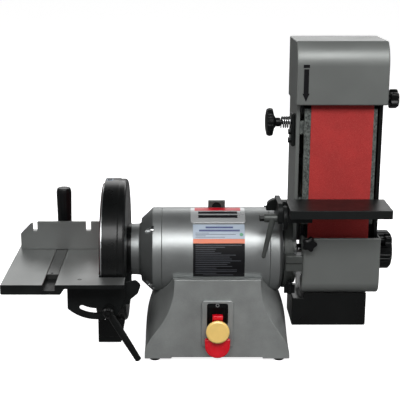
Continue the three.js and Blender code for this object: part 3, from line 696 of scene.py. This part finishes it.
# ---- motor -----------------------------------
def build_motor():
    r = MOTOR_R
    shell = rounded([(r - 3.7, -93.2), (r, -93.2), (r, 87.7), (r - 3.7, 87.7)], 0.7, steps=3)
    piece(lathe("x", shell, sides=160), "motor_barrel", "motor_shell", "silver")

    left = rounded([
        (66, -93.5, 0.2), (r, -93.5, 0.7), (r, -108.8, 2.2), (54, -128.7, 1.2), (44.6, -128.9, 5),
        (43.3, -152, 0.8), (12, -152, 0.5), (12, -126, 0.5), (20.3, -126, 0.4), (20.3, -112, 0.4),
        (30, -112, 2), (60, -106, 3),
    ], 0.5, steps=4)
    bell = lathe("x", left, sides=160)
    angles = (45, 135, 225, 315)
    seats, screws = [], []
    for angle in angles:
        seat = join(rod("x", 5.6, (-150, -106.5), sides=32),
                    block((-150, -106.5), (-5.6, 5.6), (0, 30)))
        seats.append(moved(seat, (0, 0, 66.5), (angle, 0, 0), (0, 0, -66.5)))
        screw = socket_screw("x", 4.6, (-106.6, -112.5))
        screws.append(moved(screw, (0, 0, 66.3), (angle, 0, 0), (0, 0, -66.3)))
    piece(cut(bell, *seats), "motor_left_bell", "left_end_bell", "silver")
    piece(loose(*screws), "bell_screws", "left_end_bell", "steel")

    sleeve = ring("x", 44.3, 42, (-152, -145.5), sides=128, edge=0.5)
    piece(sleeve, "bell_sleeve", "left_end_bell", "black")

    right = rounded([
        (66, 88, 0.2), (60, 100, 2), (30, 108, 2), (20.3, 108, 0.4), (20.3, 122, 0.4),
        (12, 122, 0.4), (12, 126.7, 0.4), (55.5, 126.7, 0.8), (55.5, 109.5, 1.5),
        (67, 109.3, 2.4), (r, 104, 3), (r, 88, 0.7),
    ], 0.5, steps=4)
    piece(lathe("x", right, sides=160), "motor_right_bell", "right_end_bell", "silver")

    section = rounded([(2.2, r - 2), (7.8, r - 2), (7.8, 85.8, 1.5), (2.2, 85.8, 1.5)], 0.1)
    lug = cut(prism("x", section, (-14.5, 14.5)), rod("y", 8.2, (-1, 5), (0, 74.5), 48),
              rod("x", r + 0.35, (-20, 20), sides=128))
    # painted shade: the floor of the lug's blind hole takes the black casting look to stand in for
    # the shade inside the hole
    painted_shade_hole = ("cast", lambda face: abs(face.center.y - 5) < 0.1)
    piece(bevel(lug, 0.5, 2), "lifting_lug", "top_lug", "grey_cast", second=painted_shade_hole)

    build_badge()
    build_rating_label()


def wrapped(flat, radius):
    """Bends a plate round the motor. Flat X is X, flat Y runs from the top towards the front,
    and flat Z is height above the surface."""
    reach = [v.co.y for v in flat.data.vertices]
    step = radius * math.radians(2.5)
    first, last = math.ceil(min(reach) / step), math.floor(max(reach) / step)
    sliced(flat, [k * step for k in range(first, last + 1)])

    def bend(co):
        angle = co.y / radius
        r = radius + co.z
        return Vector((co.x, -r * math.sin(angle), r * math.cos(angle)))

    return reshaped(flat, bend, mirrors=True)


def card(x, y, z, corner=0.3, edge=0.0):
    """A flat plate with rounded corners and, if asked, a softened rim."""
    outline = rounded([(x[0], y[0]), (x[1], y[0]), (x[1], y[1]), (x[0], y[1])], corner, steps=5)
    made = prism("z", outline, z)
    return bevel(made, edge, 2, 60) if edge else made


def build_badge():
    r = MOTOR_R + 0.3
    degree = math.radians(1) * r
    plate = card((-45, 47.3), (0.3 * degree, 37 * degree), (0, 1.1), 4, 0.5)
    lip = card((-44.2, 46.5), (31.5 * degree, 36.4 * degree), (0.9, 2.1), 2.2, 0.5)
    piece(wrapped(join(plate, lip), r), "badge_plate", "name_badge", "badge")
    stripe = card((-38, 40), (0.8 * degree, 11.5 * degree), (1.0, 1.35), 0.6)
    piece(wrapped(stripe, r), "badge_stripe", "name_badge", "badge_red")
    bars = [card((-32, 34), (at * degree, (at + 5.6) * degree), (1, 1.3), 0.6) for at in (14, 22.5)]
    piece(wrapped(loose(*bars), r), "badge_bars", "name_badge", "ink")


def build_rating_label():
    r = MOTOR_R + 0.3
    degree = math.radians(1) * r
    zones = (("label_head", 39, 59.7), ("label_band", 59.9, 65.7), ("label_body", 65.9, 112))
    for look, start, end in zones:
        zone = card((-41, 45), (start * degree, end * degree), (0, 0.45), 0.8)
        piece(wrapped(zone, r), look + "_zone", "rating_label", look)

    def rows(lengths, start, pitch, height):
        made = []
        for i, (left, right) in enumerate(lengths):
            at = (start + pitch * i) * degree
            made.append(card((left, right), (at, at + height), (0.4, 0.55), 0.2))
        return loose(*made)

    heading = rows([(-20, 26), (-31, 37)], 42.3, 4.6, 3.4)
    piece(wrapped(heading, r), "label_heading_bars", "rating_label", "label_blue")
    small = rows([(-37, -14), (-37, 30), (-37, -20), (-37, 12)], 51.6, 1.9, 0.7)
    piece(wrapped(small, r), "label_small_bars", "rating_label", "label_line")
    lengths = [(-37, 40 - (17 * k * k + 11 * k) % 47) for k in range(16)] + [(-24, 26)]
    text = rows(lengths, 67.8, 2.55, 0.95)
    piece(wrapped(text, r), "label_text_bars", "rating_label", "label_line")
    dot = rod("z", 3, (0.4, 0.6), (39.5, 54 * degree), 32)
    piece(wrapped(dot, r), "label_dot", "rating_label", "label_green")


def build_disc():
    wheel = turned("x", [
        (0, -192.7), (114.3, -192.7), (114.3, -181), (102, -181, 2), (98, -185.5, 2),
        (34, -185.5, 3), (28, -181, 2), (28, -162), (9.8, -162), (9.8, -186), (0, -186),
    ], 0.6, sides=160, steps=3)
    piece(wheel, "disc_wheel", "disc_plate", "alloy")
    paper = [(0, -194.4), (114.3, -194.4), (114.3, -193), (0, -193)]
    paper = turned("x", paper, 0.3, sides=160, steps=2)
    rim = ("cast", lambda face: abs(face.normal.x) < 0.5)
    piece(paper, "disc_paper", "abrasive_disc", "grit", second=rim)


def build_disc_guard():
    pan = rounded([
        (32, -152.3, 1), (32, -156.1, 1), (119.6, -156.1, 4), (119.6, -190, 0.8), (123, -190, 1.2),
        (123, -165.5, 1.5), (122.1, -163, 1.5), (122.1, -152.3, 8),
    ], 1, steps=6)
    guard = lathe("x", pan, sides=192)
    mouth = block((-192, -158.3), (-44, 44), (-130, -100))
    piece(cut(guard, mouth), "disc_hood", "disc_guard", "black")
    sticker = wrapped(card((-187.4, -176.6), (-9, 5), (0.05, 0.35), 0.8), 123)
    piece(sticker, "hood_sticker", "disc_guard", "label_head")
    inner = wrapped(card((-186.2, -177.8), (-7.6, -1.4), (0.3, 0.45), 0.5), 123)
    window = wrapped(card((-186.2, -177.8), (0, 3.8), (0.3, 0.45), 0.5), 123)
    piece(loose(inner, window), "hood_sticker_panels", "disc_guard", "ink")

    face = rod("x", 121, (-202, -190.3), sides=160, edge=1.2)
    chute = prism("y", [(-202, -90), (-153, -90), (-163, -148), (-202, -148)], (-62, 62))
    box = cut(bevel(chute, 1.6, 3), rod("x", 123.3, (-190.3, -140), sides=160))
    cover = join(cut(face, block((-210, -140), (-130, 130), (-30, 130))), box)
    inside = [(-199.5, -80), (-155.5, -80), (-165.5, -150), (-199.5, -150)]
    cover = cut(cover, prism("y", inside, (-59.5, 59.5)), rod("x", 118, (-199.5, -189), sides=160))
    piece(cover, "disc_front_cover", "disc_lower_cover", "black")
    seam = tube([(-199, -62.1, -137), (-162.5, -62.1, -137)], 0.5, 8)
    piece(seam, "cover_seam", "disc_lower_cover", "black")

    ear = rounded([
        (-188, -70, 3), (-168, -76, 4), (-148, -50, 4), (-131, -36, 5), (-126, -22, 5),
        (-134, -14, 5), (-150, -17, 3), (-186, -34, 3),
    ], 3)
    hole = (TABLE_LOCK[0], TABLE_LOCK[1] - AXIS_Z)
    for name, side in (("front", -1), ("rear", 1)):
        reach = sorted((side * 123.4, side * 129))
        arm = sorted((side * 60, side * 124.5))
        body = join(prism("y", ear, reach), block((-151.9, -144), arm, (-56, -24)))
        body = cut(bevel(body, 0.9, 2), rod("y", 4.5, (-140, 140), hole, 32))
        piece(body, f"trunnion_ear_{name}", f"table_bracket_{name}", "cast")


# ---- disc table and miter gauge --------------
def at_table(obj):
    """Moves a solid made round the disc table's tilt axis into place."""
    return moved(obj, (TABLE_PIVOT[0], 0, TABLE_PIVOT[1]))


def arc_slot(radius, half, start, end):
    a, b = math.radians(start), math.radians(end)
    outer = arc((0, 0), radius + half, start, end, 24)
    tip = arc((radius * math.cos(b), radius * math.sin(b)), half, end, end + 180, 8)
    inner = arc((0, 0), radius - half, end, start, 24)
    heel = arc((radius * math.cos(a), radius * math.sin(a)), half, start + 180, start + 360, 8)
    return outer + tip[1:-1] + inner + heel[1:-1]


def build_disc_table():
    section = [
        (-149.1, 0, 1), (-83.1, 0, 0.3), (-82.25, -0.9, 0.3), (-82.25, -9.6), (-62.95, -9.6),
        (-62.95, -0.9, 0.3), (-62.1, 0, 0.3), (0, 0, 0.5), (-6.5, -6.5, 0.4), (-48, -6.5, 1.5),
        (-54.6, -16, 2), (-90, -16, 1), (-90, -6.5, 1), (-143, -6.5, 1), (-143, -16, 1),
        (-149.1, -16, 2),
    ]
    plate = prism("y", rounded(section, 0, steps=4), (-167, 153))
    for x, y_pair, z in (
        ((-144, -89), ((-167, -161), (147, 153)), (-16, -5.5)),
        ((-10, 46.4), ((-167, -129.3), (129.3, 153)), (-6.5, -0.001)),
        ((-10, 3.4), ((-129.5, -118.8), (118.8, 129.5)), (-6.5, -0.002)),
        ((-10, 6), ((-119.2, -115.2), (115.2, 119.2)), (-6.4, -0.003)),
        ((-3, 2), ((-116, 116),), (-1.7, -0.004)),
    ):
        plate = join(plate, *(block(x, y, z) for y in y_pair))
    plate = bevel(plate, 0.8, 2, 50)
    marks = [rod("z", 3.4, (-0.7, 1), (-26, y), 32) for y in (-140, 132)]
    plate = at_table(cut(plate, *marks))
    top = TABLE_PIVOT[1] - 1.2
    unground = ("cast", lambda face: face.normal.z < 0.5 or face.center.z < top)
    piece(plate, "disc_table_plate", "disc_table", "iron", second=unground, up=0)
    screws = []
    for y in (-140, 132):
        head = rod("z", 3.2, (-3, -0.35), (-26, y), 32, edge=0.3)
        screws.append(cut(head, block((-32, -20), (y - 0.5, y + 0.5), (-1, 1))))
    piece(at_table(loose(*screws)), "table_screws", "disc_table", "bar", up=0)

    left = -47.2
    corner = 180 + math.degrees(math.acos(-left / 69.7))
    outline = [(46, -6.8), (left, -6.8)] + arc((0, 0), 69.7, corner, 300, 24) + [(46, -32)]
    slot = arc_slot(55, 4.7, 21 - 90 - 45 - 1.5, 21 - 90 + 1.5)
    for name, reach in (("front", (-135.6, -129.4)), ("rear", (129.4, 135.6))):
        plate = bevel(prism("y", outline, reach), 1.1, 3, 40)
        plate = bevel(cut(plate, prism("y", slot, (-140, 140))), 0.5, 2, 60)
        piece(at_table(plate), f"quadrant_{name}", f"trunnion_{name}", "cast", up=0)

    x, z = TABLE_LOCK
    hub = [(0, -158), (6.5, -158), (9, -155.5), (9, -140), (7.5, -136.4), (0, -136.4)]
    hub = turned("y", hub, 0.8, (x, z), 48)
    stud = rod("y", 4, (-140, -124), (x, z), 32, edge=0.4)
    arm = moved(lever_arm(94.5, 6, 5.2, 4.4), (x, -149.5, z), (0, -30, 0))
    lever = join(hub, arm, stud)
    lever = cut(lever, rod("y", 4.8, (-160, -155.4), (x, z), 40))
    piece(lever, "table_lock_lever", "disc_table_lever", "black", up=0)
    screw = hex_head("y", 6.6, (-155.2, -157.9), (x, z))
    piece(screw, "table_lock_screw", "disc_table_lever", "black", up=0)


def build_miter_gauge():
    x, y, handle_y = -72.6, 33, 75.3                 # the slot's middle, the pivot and the handle
    bar = block((-81.9, -63.3), (-112, 150), (-9.3, -0.3))
    bar = cut(bevel(bar, 0.5, 2), rod("z", 3.3, (-7, 1), (x, handle_y), 32),
              rod("z", 2.5, (-10, 1), (-74.4, -106.5), 24))
    bar = join(bar, rod("z", 4, (-1, 6.6), (x, y), 32))
    piece(at_table(bar), "gauge_bar", "miter_bar", "bar", up=0)

    fence = [
        (-144.6, 0.3), (-3.6, 0.3), (-3.6, 50.2), (-21.4, 50.2), (-21.4, 33.3, 1.5),
        (-30.2, 33.3, 1.5), (-30.2, 50.2), (-115.1, 50.2), (-115.1, 33.3, 1.5),
        (-123, 33.3, 1.5), (-123, 47.5), (-126, 47.5), (-144.6, 28.5),
    ]
    wall = prism("y", rounded(fence, 0.6, steps=3), (25.3, 31.3))
    wall = bevel(wall, 0.5, 2, 60)
    half_disc = [(x + a, y - 2 + b) for a, b in arc((0, 0), 52, 0, 180, 40)]
    foot = prism("z", rounded(half_disc, 0, steps=1), (0.3, 8))
    slot = [(x + a, y + b) for a, b in arc_slot(42.3, 3.6, 42, 138)]
    foot = bevel(cut(foot, prism("z", slot, (-1, 12))), 0.6, 2, 50)
    foot = cut(foot, rod("z", 4.3, (-1, 6.8), (x, y), 32))
    boss = turned("z", [(0, 7), (9, 7), (9, 10), (7, 12), (0, 12)], 0.6, (x, y + 8), 40)
    head = join(wall, foot, boss)
    piece(at_table(head), "gauge_fence", "miter_head", "fence", up=0)
    ticks = []
    for k in range(-9, 10):
        length = 5 if k % 3 == 0 else 3
        tick = block((-0.25, 0.25), (51.6 - length, 51.6), (7.9, 8.15))
        ticks.append(moved(tick, (x, y - 2, 0), (0, 0, 5 * k)))
    piece(at_table(loose(*ticks)), "gauge_scale", "miter_head", "ink", up=0)

    handle = turned("z", [
        (0, -6.5), (3, -6.5), (3, 8.4), (9, 8.4, 0.6), (9, 22, 1), (8, 24.5, 0.8), (12.2, 27, 1),
        (12.7, 60, 0), (13.4, 92, 2), (12.3, 97, 1.5), (11, 99.3, 1.2), (0, 99.8),
    ], 0.4, (x, handle_y), 112, 4, grooved(0.35, 14, 8))
    piece(at_table(handle), "gauge_handle", "miter_handle", "plastic", up=0)


# ---- belt arm --------------------------------
ARM_OUTER = 268.3


def side_plate(span, end_radius, top):
    """A side plate of the arm: round about the motor axis, straight above it."""
    reach = 46
    angle = math.degrees(math.asin(reach / end_radius))
    outline = arc((0, 0), end_radius, 90 + angle, 450 - angle, 64)
    outline += [(reach, top), (-reach, top)]
    return cut(prism("x", outline, span), rod("x", 20, (span[0] - 1, span[1] + 1), sides=64))


def build_arm_frame():
    collar = ring("x", 66, 55.8, (112, 126.7), sides=144, edge=0.8)
    clamp = bevel(block((112, 140), (-84, -61), (-13.7, 13.1)), 1.4, 3)
    slit = block((100, 145), (-90, -50), (-0.8, 0.8))
    body = cut(join(collar, clamp), slit, rod("x", 55.8, (100, 150), sides=144),
               rod("z", 4.4, (-20, 20), COLLAR_BOLT, 32))
    piece(body, "pivot_collar", "arm_collar", "grey_cast")
    shank = rod("z", 4, (-36, 16), COLLAR_BOLT, 32, edge=0.6)
    head = hex_head("z", 13, (13.3, 19), COLLAR_BOLT)
    nut = hex_head("z", 13, (-14.2, -20), COLLAR_BOLT)
    piece(join(shank, head, nut), "collar_bolt", "clamp_bolt", "steel")

    left = bevel(side_plate((127, 133), 58, 325), 0.8, 2, 50)
    seat = bevel(block((132, 261.5), (-14, 14), (151, 164)), 0.8, 2)
    flange = block((127, 133), (45, 56.9), (0, 259.5))
    cover = bevel(join(block((127, 268), (54.5, 57), (0, 259.5)), flange), 0.6, 2)
    left = join(left, seat, cover)
    left = cut(left, rod("x", 4.4, (120, 140), TRACKING_AXIS, 32))
    inner = ("cast", lambda face: face.center.x > 133.5 and face.center.y < 50)
    piece(left, "arm_left_plate", "arm_frame", "hood", second=inner)
    right = bevel(side_plate((262, 268), 48, 325), 0.8, 2, 50)
    piece(right, "arm_right_plate", "right_side_plate", "black")

    section = rounded([(-50, 57.7), (-44, 57.7, 0.5), (-44, 253.7, 0.5), (-50, 253.7)], 2.5)
    face = bevel(prism("x", section, (140, 258.4)), 0.6, 2, 60)
    lugs = [bevel(block((133.3, 150), (-45.5, -36), (z, z + 22)), 0.6, 2) for z in (80, 210)]
    piece(join(face, *lugs), "platen_plate", "platen", "pad")


def build_tension_spring():
    foot, length, travel = 164.3, 50.4, 8
    spring = moved(coil(9, length, 5, 1.5), (201, 0, foot))
    spring = piece(spring, "tension_coil", "tension_spring", "steel")
    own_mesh(spring)


def build_belt():
    outer, inner = 51.3, 50.3

    def loop(radius):
        return arc((0, 0), radius, 180, 360, 48) + arc((0, DRUM_SPACING), radius, 0, 180, 48)

    corners = ((150.4, outer), (252, outer), (252, inner), (150.4, inner))
    belt = skin([[(x, *p) for p in loop(radius)] for x, radius in corners], wrap=True)

    def backing(face):
        middle, normal = face.center, face.normal
        past_drum = middle.z - min(max(middle.z, 0), DRUM_SPACING)
        return abs(normal.x) < 0.5 and middle.y * normal.y + past_drum * normal.z < 0

    piece(belt, "belt_loop", "sanding_belt", "grit", sharp=50,
          second=("cloth", backing))


def build_hoods():
    (x0, x1), (y0, y1), (z0, z1) = (124, 272), (-66, 56), (260.7, 361.7)

    def hood(inset):
        top, bend = z1 - inset, 48 - inset
        centre = (y0 + 48, z1 - 39)
        start = math.degrees(math.pi - math.asin((top - centre[1]) / bend))
        front = arc(centre, bend, start, 180, 28)
        return [(y1 - inset, z0 - inset), (y1 - inset, top)] + front + [(y0 + inset, z0 - inset)]

    shell = bevel(prism("x", hood(0), (x0, x1)), 2.4, 4, 48)
    hollow = prism("x", hood(2.5), (x0 + 2.5, x1 - 2.5))
    floor = block((x0 + 2.5, x1 - 2.5), (y0 + 2.5, y1 - 2.5), (z0 - 6, z0 + 4))
    notch = rod("x", 4.6, (x1 - 5, x1 + 1), GUARD_KNOB, 32)
    piece(cut(shell, hollow, floor, notch), "belt_hood", "upper_guard", "hood", sharp=30)
    shaft = [(135, 319), (143, 319), (143, 280), (144.8, 280), (139, 267), (133.2, 280), (135, 280)]
    arrow = prism("y", shaft, (-66.35, -66.05))
    crown = prism("y", [(134, 321), (144, 321), (144, 326), (134, 326)], (-66.35, -66.05))
    piece(loose(arrow, crown), "direction_arrow", "upper_guard", "ink")

    (x0, x1), (y0, y1), (z0, z1) = (141, 270.5), (-70, 30), (-60, 39.7)

    def tray(inset):
        bend = 22 - inset
        upper = [(y1 + inset, z0 + 22 + inset), (y0 + 30, z1 + inset), (y0 + inset, z1 + inset)]
        return upper + arc((y0 + 22, z0 + 22), bend, 180, 270, 20) + [(y1 + inset, z0 + inset)]

    shell = bevel(prism("x", tray(0), (x0, x1)), 2.2, 4, 48)
    shell = cut(
        shell,
        prism("x", tray(2.5), (x0 + 2.5, x1 - 2.5)),
        block((x0 - 1, x1 + 1), (-49, 40), (-57, 60)),
        block((146, 245), (-50, 20), (-65, -50)),
        rod("y", 4.5, (-75, -60), COVER_KNOB, 32),
        rod("x", 52.2, (x0 - 1, x1 + 1), sides=96),
    )
    piece(shell, "drum_hood", "lower_guard", "hood", sharp=30)

    side = rounded([(127.5, -119), (253, -119), (253, -60.4), (146.5, -60.4), (146.5, -70.5, 1),
                    (127.5, -70.5)], 2)
    hollow = [(130, -122), (250.5, -122), (250.5, -58), (149, -58), (149, -73), (130, -73)]
    chute = bevel(prism("y", side, (-55, 25)), 1.6, 3, 50)
    chute = cut(chute, prism("y", hollow, (-52.5, 22.5)))
    piece(chute, "belt_chute", "belt_dust_chute", "black")

    cap = turned("x", [
        (0, 299), (29, 299), (33, 295.5), (33, 273), (31.4, 271.5), (32.4, 268.4), (30, 268.4),
        (30, 295), (0, 295),
    ], 0.8, sides=256, steps=3, shape=grooved(1.1, 32, 31.5))
    piece(cap, "drum_cap", "hub_cap", "plastic")


def build_arm_knobs():
    bracket = bevel(block((121, 126.7), (-36, -14), (188, 242)), 1.6, 3)
    bracket = cut(bracket, rod("x", 4.4, (110, 130), TRACKING_AXIS, 32))
    piece(bracket, "tracking_pad", "tracking_bracket", "cast")
    bolts = []
    for at in ((-25, 197), (-25, 211)):
        head = hex_head("x", 8.5, (121.2, 116.5), at)
        bolts.append(join(head, rod("x", 5.6, (120.4, 121.4), at, 32)))
    piece(loose(*bolts), "tracking_pad_bolts", "tracking_bracket", "cast")

    knob = turned("x", [
        (0, 77.7), (13, 78.4, 3), (22, 80.4, 2.2), (23.4, 85, 1.5), (22.4, 90, 1.6), (12, 92.5, 2),
        (7.5, 95, 1), (7.5, 102.5, 0.5), (4, 102.8, 0.2), (4, 150, 0.5), (0, 150),
    ], 0.5, TRACKING_AXIS, 144, 4, grooved(0.9, 18, 21.4))
    piece(knob, "tracking_handwheel", "tracking_knob", "plastic")
    spring = moved(coil(8.9, 17.7, 4, 1.3), (103, *TRACKING_AXIS), (0, 90, 0))
    piece(spring, "tracking_coil", "tracking_spring", "steel")

    x, z = COVER_KNOB
    knobs = (
        ("guard_star_knob", "guard_knob", (4.2, 14, 16.5, 15), (ARM_OUTER, *GUARD_KNOB), 0),
        ("hub_star_knob", "hub_knob", (4.2, 13.2, 12, 12.5), (ARM_OUTER, -40, 27.7), 0),
        ("cover_star_knob", "cover_knob", (4.2, 12, 12.8, 10), (x, -63, z), -90),
    )
    for name, node, size, place, turn in knobs:
        knob = moved(star_knob(*size), place, (0, 0, turn))
        piece(knob, name, node, "plastic")
    wings = join(block((-9, 9), (-2, 2), (-22, -8)), block((-2, 2), (-9, 9), (-21.9, -8.1)))
    hub = turned("z", [(0, -22), (5, -22), (5, -4), (3, -4), (3, 0), (0, 0)], 0.7, sides=32)
    screw = moved(join(hub, bevel(wings, 1.2, 3)), (122, -58, -37.5))
    piece(screw, "collar_wing_screw", "arm_lock_screw", "plastic")


def build_belt_table():
    y, z = BELT_TABLE_AXIS
    side = rounded([(y - 11, 71.7, 5), (-25, 71.7), (-25, 104, 9), (y - 11, 104, 14)], 1.5)
    foot = block((103.5, 126.7), (-41, -25), (71.7, 95))
    support = bevel(join(prism("x", side, (96.3, 104)), foot), 0.9, 2)
    support = cut(support, rod("x", 4.4, (90, 120), (y, z), 32))
    piece(support, "belt_table_strut", "table_support_arm", "cast")
    dome = rod("y", 15.5, (-50, -38), (96, 86), 64)
    dome = cut(dome, block((70, 120), (-60, -30), (60, 82)))
    piece(bevel(dome, 1.2, 3, 50), "strut_flange", "table_support_arm", "cast")
    bolt = hex_head("x", 7.5, (81.5, 77), (-44, 91))
    piece(bolt, "strut_flange_bolt", "table_support_arm", "steel")

    outline = rounded([(112, -134), (274.5, -134), (274.5, -58), (112, -58)], 2.5)
    slab = bevel(prism("z", outline, (89.7, 103.7)), 0.8, 3, 60)
    piece(slab, "belt_table_slab", "belt_table", "table")
    pad = bevel(block((110, 150), (y - 24, y + 20), (z - 2, 89.4)), 1, 2)
    cheek = rod("x", 20, (104.3, 111.7), (y, z), 64, edge=1.2)
    bracket = cut(join(pad, cheek), rod("x", 4.4, (90, 120), (y, z), 32))
    piece(bracket, "belt_table_cheek", "belt_table_bracket", "cast")

    boss = turned("x", [(0, 74), (7, 74, 1), (7, 96, 0.8), (0, 96)], 0.5, sides=40)
    stem = rod("x", 4, (95, 111.5), sides=32, edge=0.5)
    arm = moved(lever_arm(66, 5, 3.4, 4.2), (88, -4.5, 0), (0, 12, 0))
    lever = moved(join(boss, stem, arm), (0, y, z))
    piece(lever, "belt_table_lock", "belt_table_lever", "grey_cast")
    head = hex_head("x", 9.4, (74.4, 66.7), (y, z))
    piece(head, "belt_table_lock_screw", "belt_table_lever", "cast")


# ---- switch ----------------------------------
def on_face(obj):
    """Lays a solid made with Y as the distance out from a plumb face onto the base's front."""
    return reshaped(obj, lambda co: Vector((co.x, -base_depth(co.z) - co.y, co.z)), mirrors=True)


def build_switch():
    rim = [(-26.4, 28.9), (26.4, 28.9), (26.4, 109.4, 6), (-26.4, 109.4, 6)]
    bezel = bevel(prism("y", rounded(rim, 3, steps=6), (0.3, 5.4)), 1.2, 3, 50)
    opening = rounded([(-17.8, 10), (17.8, 10), (17.8, 105.2, 4), (-17.8, 105.2, 4)], 0.1, steps=6)
    bezel = on_face(cut(bezel, prism("y", opening, (-1, 9))))
    piece(bezel, "switch_bezel", "switch_body", "casting", up=0)
    core = [(-17.5, 29.2), (17.5, 29.2), (17.5, 104.9, 3.8), (-17.5, 104.9, 3.8)]
    core = on_face(prism("y", rounded(core, 0.3, steps=6), (0.2, 3.6)))
    core = join(core, block((-17.4, 17.4), (-80.8, -60.5), (27, 104)))
    core = cut(core, block((-15.8, 15.8), (-95, -76), (20, 97)))
    piece(core, "switch_insert", "switch_body", "plastic", up=0)
    circle = [(x, 3.7, z) for x, z in arc((0, 101), 2.5, 0, 360, 32)[:-1]]
    symbol = on_face(tube(circle, 0.42, 8, closed=True))
    piece(symbol, "switch_ring_mark", "switch_body", "white", up=0)

    y, z = -84, 74                                   # the paddle's hinge
    tab = bevel(block((-8.8, 8.8), (-11.5, -1), (5, 12.6)), 1.4, 3)
    web = join(block((-13, 13), (-6.5, -2), (-44, -8)), block((-8.8, 8.8), (-6.4, -2.1), (-10, 11)))
    web = bevel(web, 0.8, 2)
    lip = [(21 * x, -40 + 21.6 * z) for x, z in arc((0, 0), 1, 0, -180, 36)]
    scoop = bevel(prism("y", [(21.5, -28)] + lip + [(-21.5, -28)], (-15, -5.5)), 2.2, 4, 50)
    ball = [(0, -40)] + arc((0, 0), 40, -85, 85, 34) + [(0, 40)]
    scoop = cut(scoop, moved(lathe("y", ball, sides=64), (0, -52.6, -44)))
    key_z = 61.2 - z
    paddle = cut(join(web, tab, scoop), block((-6.3, 6.3), (-10, 0), (key_z - 6.3, key_z + 6.3)))
    piece(moved(paddle, (0, y, z)), "stop_paddle", "switch_paddle", "red", up=0)
    button = turned("y", [
        (0, -21.6), (17, -22, 1), (19.6, -20.4, 1.4), (19.6, -16.6, 1), (18.2, -15.3, 0.6),
        (0, -15.3),
    ], 0.6, (0, key_z), 96)
    shank = bevel(block((-6, 6), (-16, -1), (key_z - 6, key_z + 6)), 0.6, 2)
    piece(moved(join(button, shank), (0, y, z)), "start_key", "safety_key", "yellow", up=0)


# ---- CAD nodes that stay ---------------------
KEPT = {
    "run_capacitor": "plastic", "stator_core": "core", "left_bearing": "steel",
    "right_bearing": "steel", "arbor_shaft": "steel", "rotor_core": "core",
    "cooling_fan": "plastic", "drive_drum": "alloy", "idler_drum": "rubber",
    "idler_yoke": "steel",
}


def dress_kept_nodes():
    for name, look in KEPT.items():
        obj = frame["nodes"][name]
        obj.data.materials.clear()
        obj.data.materials.append(MATERIALS[look])


# ---- studio ----------------------------------
WHITE = (1, 1, 1, 1)
FLOOR_HALF, FLOOR_DROP = 30.0, 0.0004                # metres
CAMERA_OFFSET, CAMERA_HEIGHT, CAMERA_PITCH = (-0.0382, -1.652), 0.6847, 75.7
LENS, LENS_SHIFT = 90, 0.04875


def softbox(name, place, aim, size, power):
    data = bpy.data.lights.new(name, "AREA")
    data.shape = "RECTANGLE"
    data.size, data.size_y = size
    data.energy = power
    obj = bpy.data.objects.new(name, data)
    obj.location = place
    obj.rotation_euler = (Vector(aim) - Vector(place)).to_track_quat("-Z", "Y").to_euler()
    obj.visible_camera = False
    scene.collection.objects.link(obj)


def build_studio():
    low, high = CAD_BOX
    middle = (low + high) / 2
    camera_data = bpy.data.cameras.new("camera")
    camera_data.lens = LENS
    camera_data.shift_x = LENS_SHIFT
    camera = bpy.data.objects.new("camera", camera_data)
    camera.location = middle + Vector((*CAMERA_OFFSET, CAMERA_HEIGHT - middle.z))
    camera.rotation_euler = (math.radians(CAMERA_PITCH), 0, 0)
    scene.collection.objects.link(camera)
    scene.camera = camera

    bm = bmesh.new()
    half = FLOOR_HALF
    corners = [(-half, -half), (half, -half), (half, half), (-half, half)]
    bm.faces.new([bm.verts.new((x, y, low.z - FLOOR_DROP)) for x, y in corners])
    floor = temporary(bm, "floor")
    paper = Paint("studio_paper")
    seen = paper.node("ShaderNodeLightPath").outputs["Is Camera Ray"]
    cloud = paper.span(paper.noise(300, 3), 0.3, 0.7)
    tone = paper.mix(cloud, linear(243, 243, 243), linear(249, 249, 249))
    paper.finish(paper.mix(seen, linear(112, 112, 112), tone), 0.9)
    paper.surface.inputs["Emission Color"].default_value = WHITE
    paper.put(paper.surface.inputs["Emission Strength"], paper.span(seen, 0, 1, 0.04, 0.9))
    floor.data.materials.append(paper.material)

    world = bpy.data.worlds.new("studio")
    world.use_nodes = True
    sky = Nodes(world.node_tree)
    direction = sky.node("ShaderNodeTexCoord").outputs["Generated"]
    split = sky.node("ShaderNodeSeparateXYZ", Vector=direction)
    ramp = sky.node("ShaderNodeValToRGB", Fac=split.outputs["Z"])
    levels = ((0.0, 0.22), (0.2, 0.42), (0.5, 0.1), (1.0, 0.04))
    while len(ramp.color_ramp.elements) < len(levels):
        ramp.color_ramp.elements.new(0.5)
    for element, (at, level) in zip(ramp.color_ramp.elements, levels):
        element.position = at
        element.color = (level, level, level, 1)
    fade = sky.span(sky.math("ABSOLUTE", split.outputs["X"]), 0.35, 0.9, 1.0, 0.5)
    dim = sky.node("ShaderNodeVectorMath", {"operation": "SCALE"},
                   Vector=ramp.outputs["Color"], Scale=fade)
    seen = sky.node("ShaderNodeLightPath").outputs["Is Camera Ray"]
    colour = sky.mix(seen, dim.outputs[0], WHITE)
    sky.put(sky.tree.nodes["Background"].inputs["Color"], colour)
    scene.world = world

    softbox("key", (0.1, -1.9, 1.95), middle, (2.4, 0.9), 62)
    softbox("left_strip", (-2.0, -0.7, 1.5), middle + Vector((0.2, 0, 0.15)), (0.7, 1.4), 15)
    softbox("right_strip", (2.0, -0.6, 1.3), middle + Vector((0, 0, 0.1)), (0.7, 1.4), 10)
    softbox("back", (0, 2.2, 1.4), middle, (2.6, 1.0), 18)


build_studio()
build_base()
build_motor()
build_disc()
build_disc_guard()
build_disc_table()
build_miter_gauge()
build_arm_frame()
build_tension_spring()
build_belt()
build_hoods()
build_arm_knobs()
build_belt_table()
build_switch()
dress_kept_nodes()
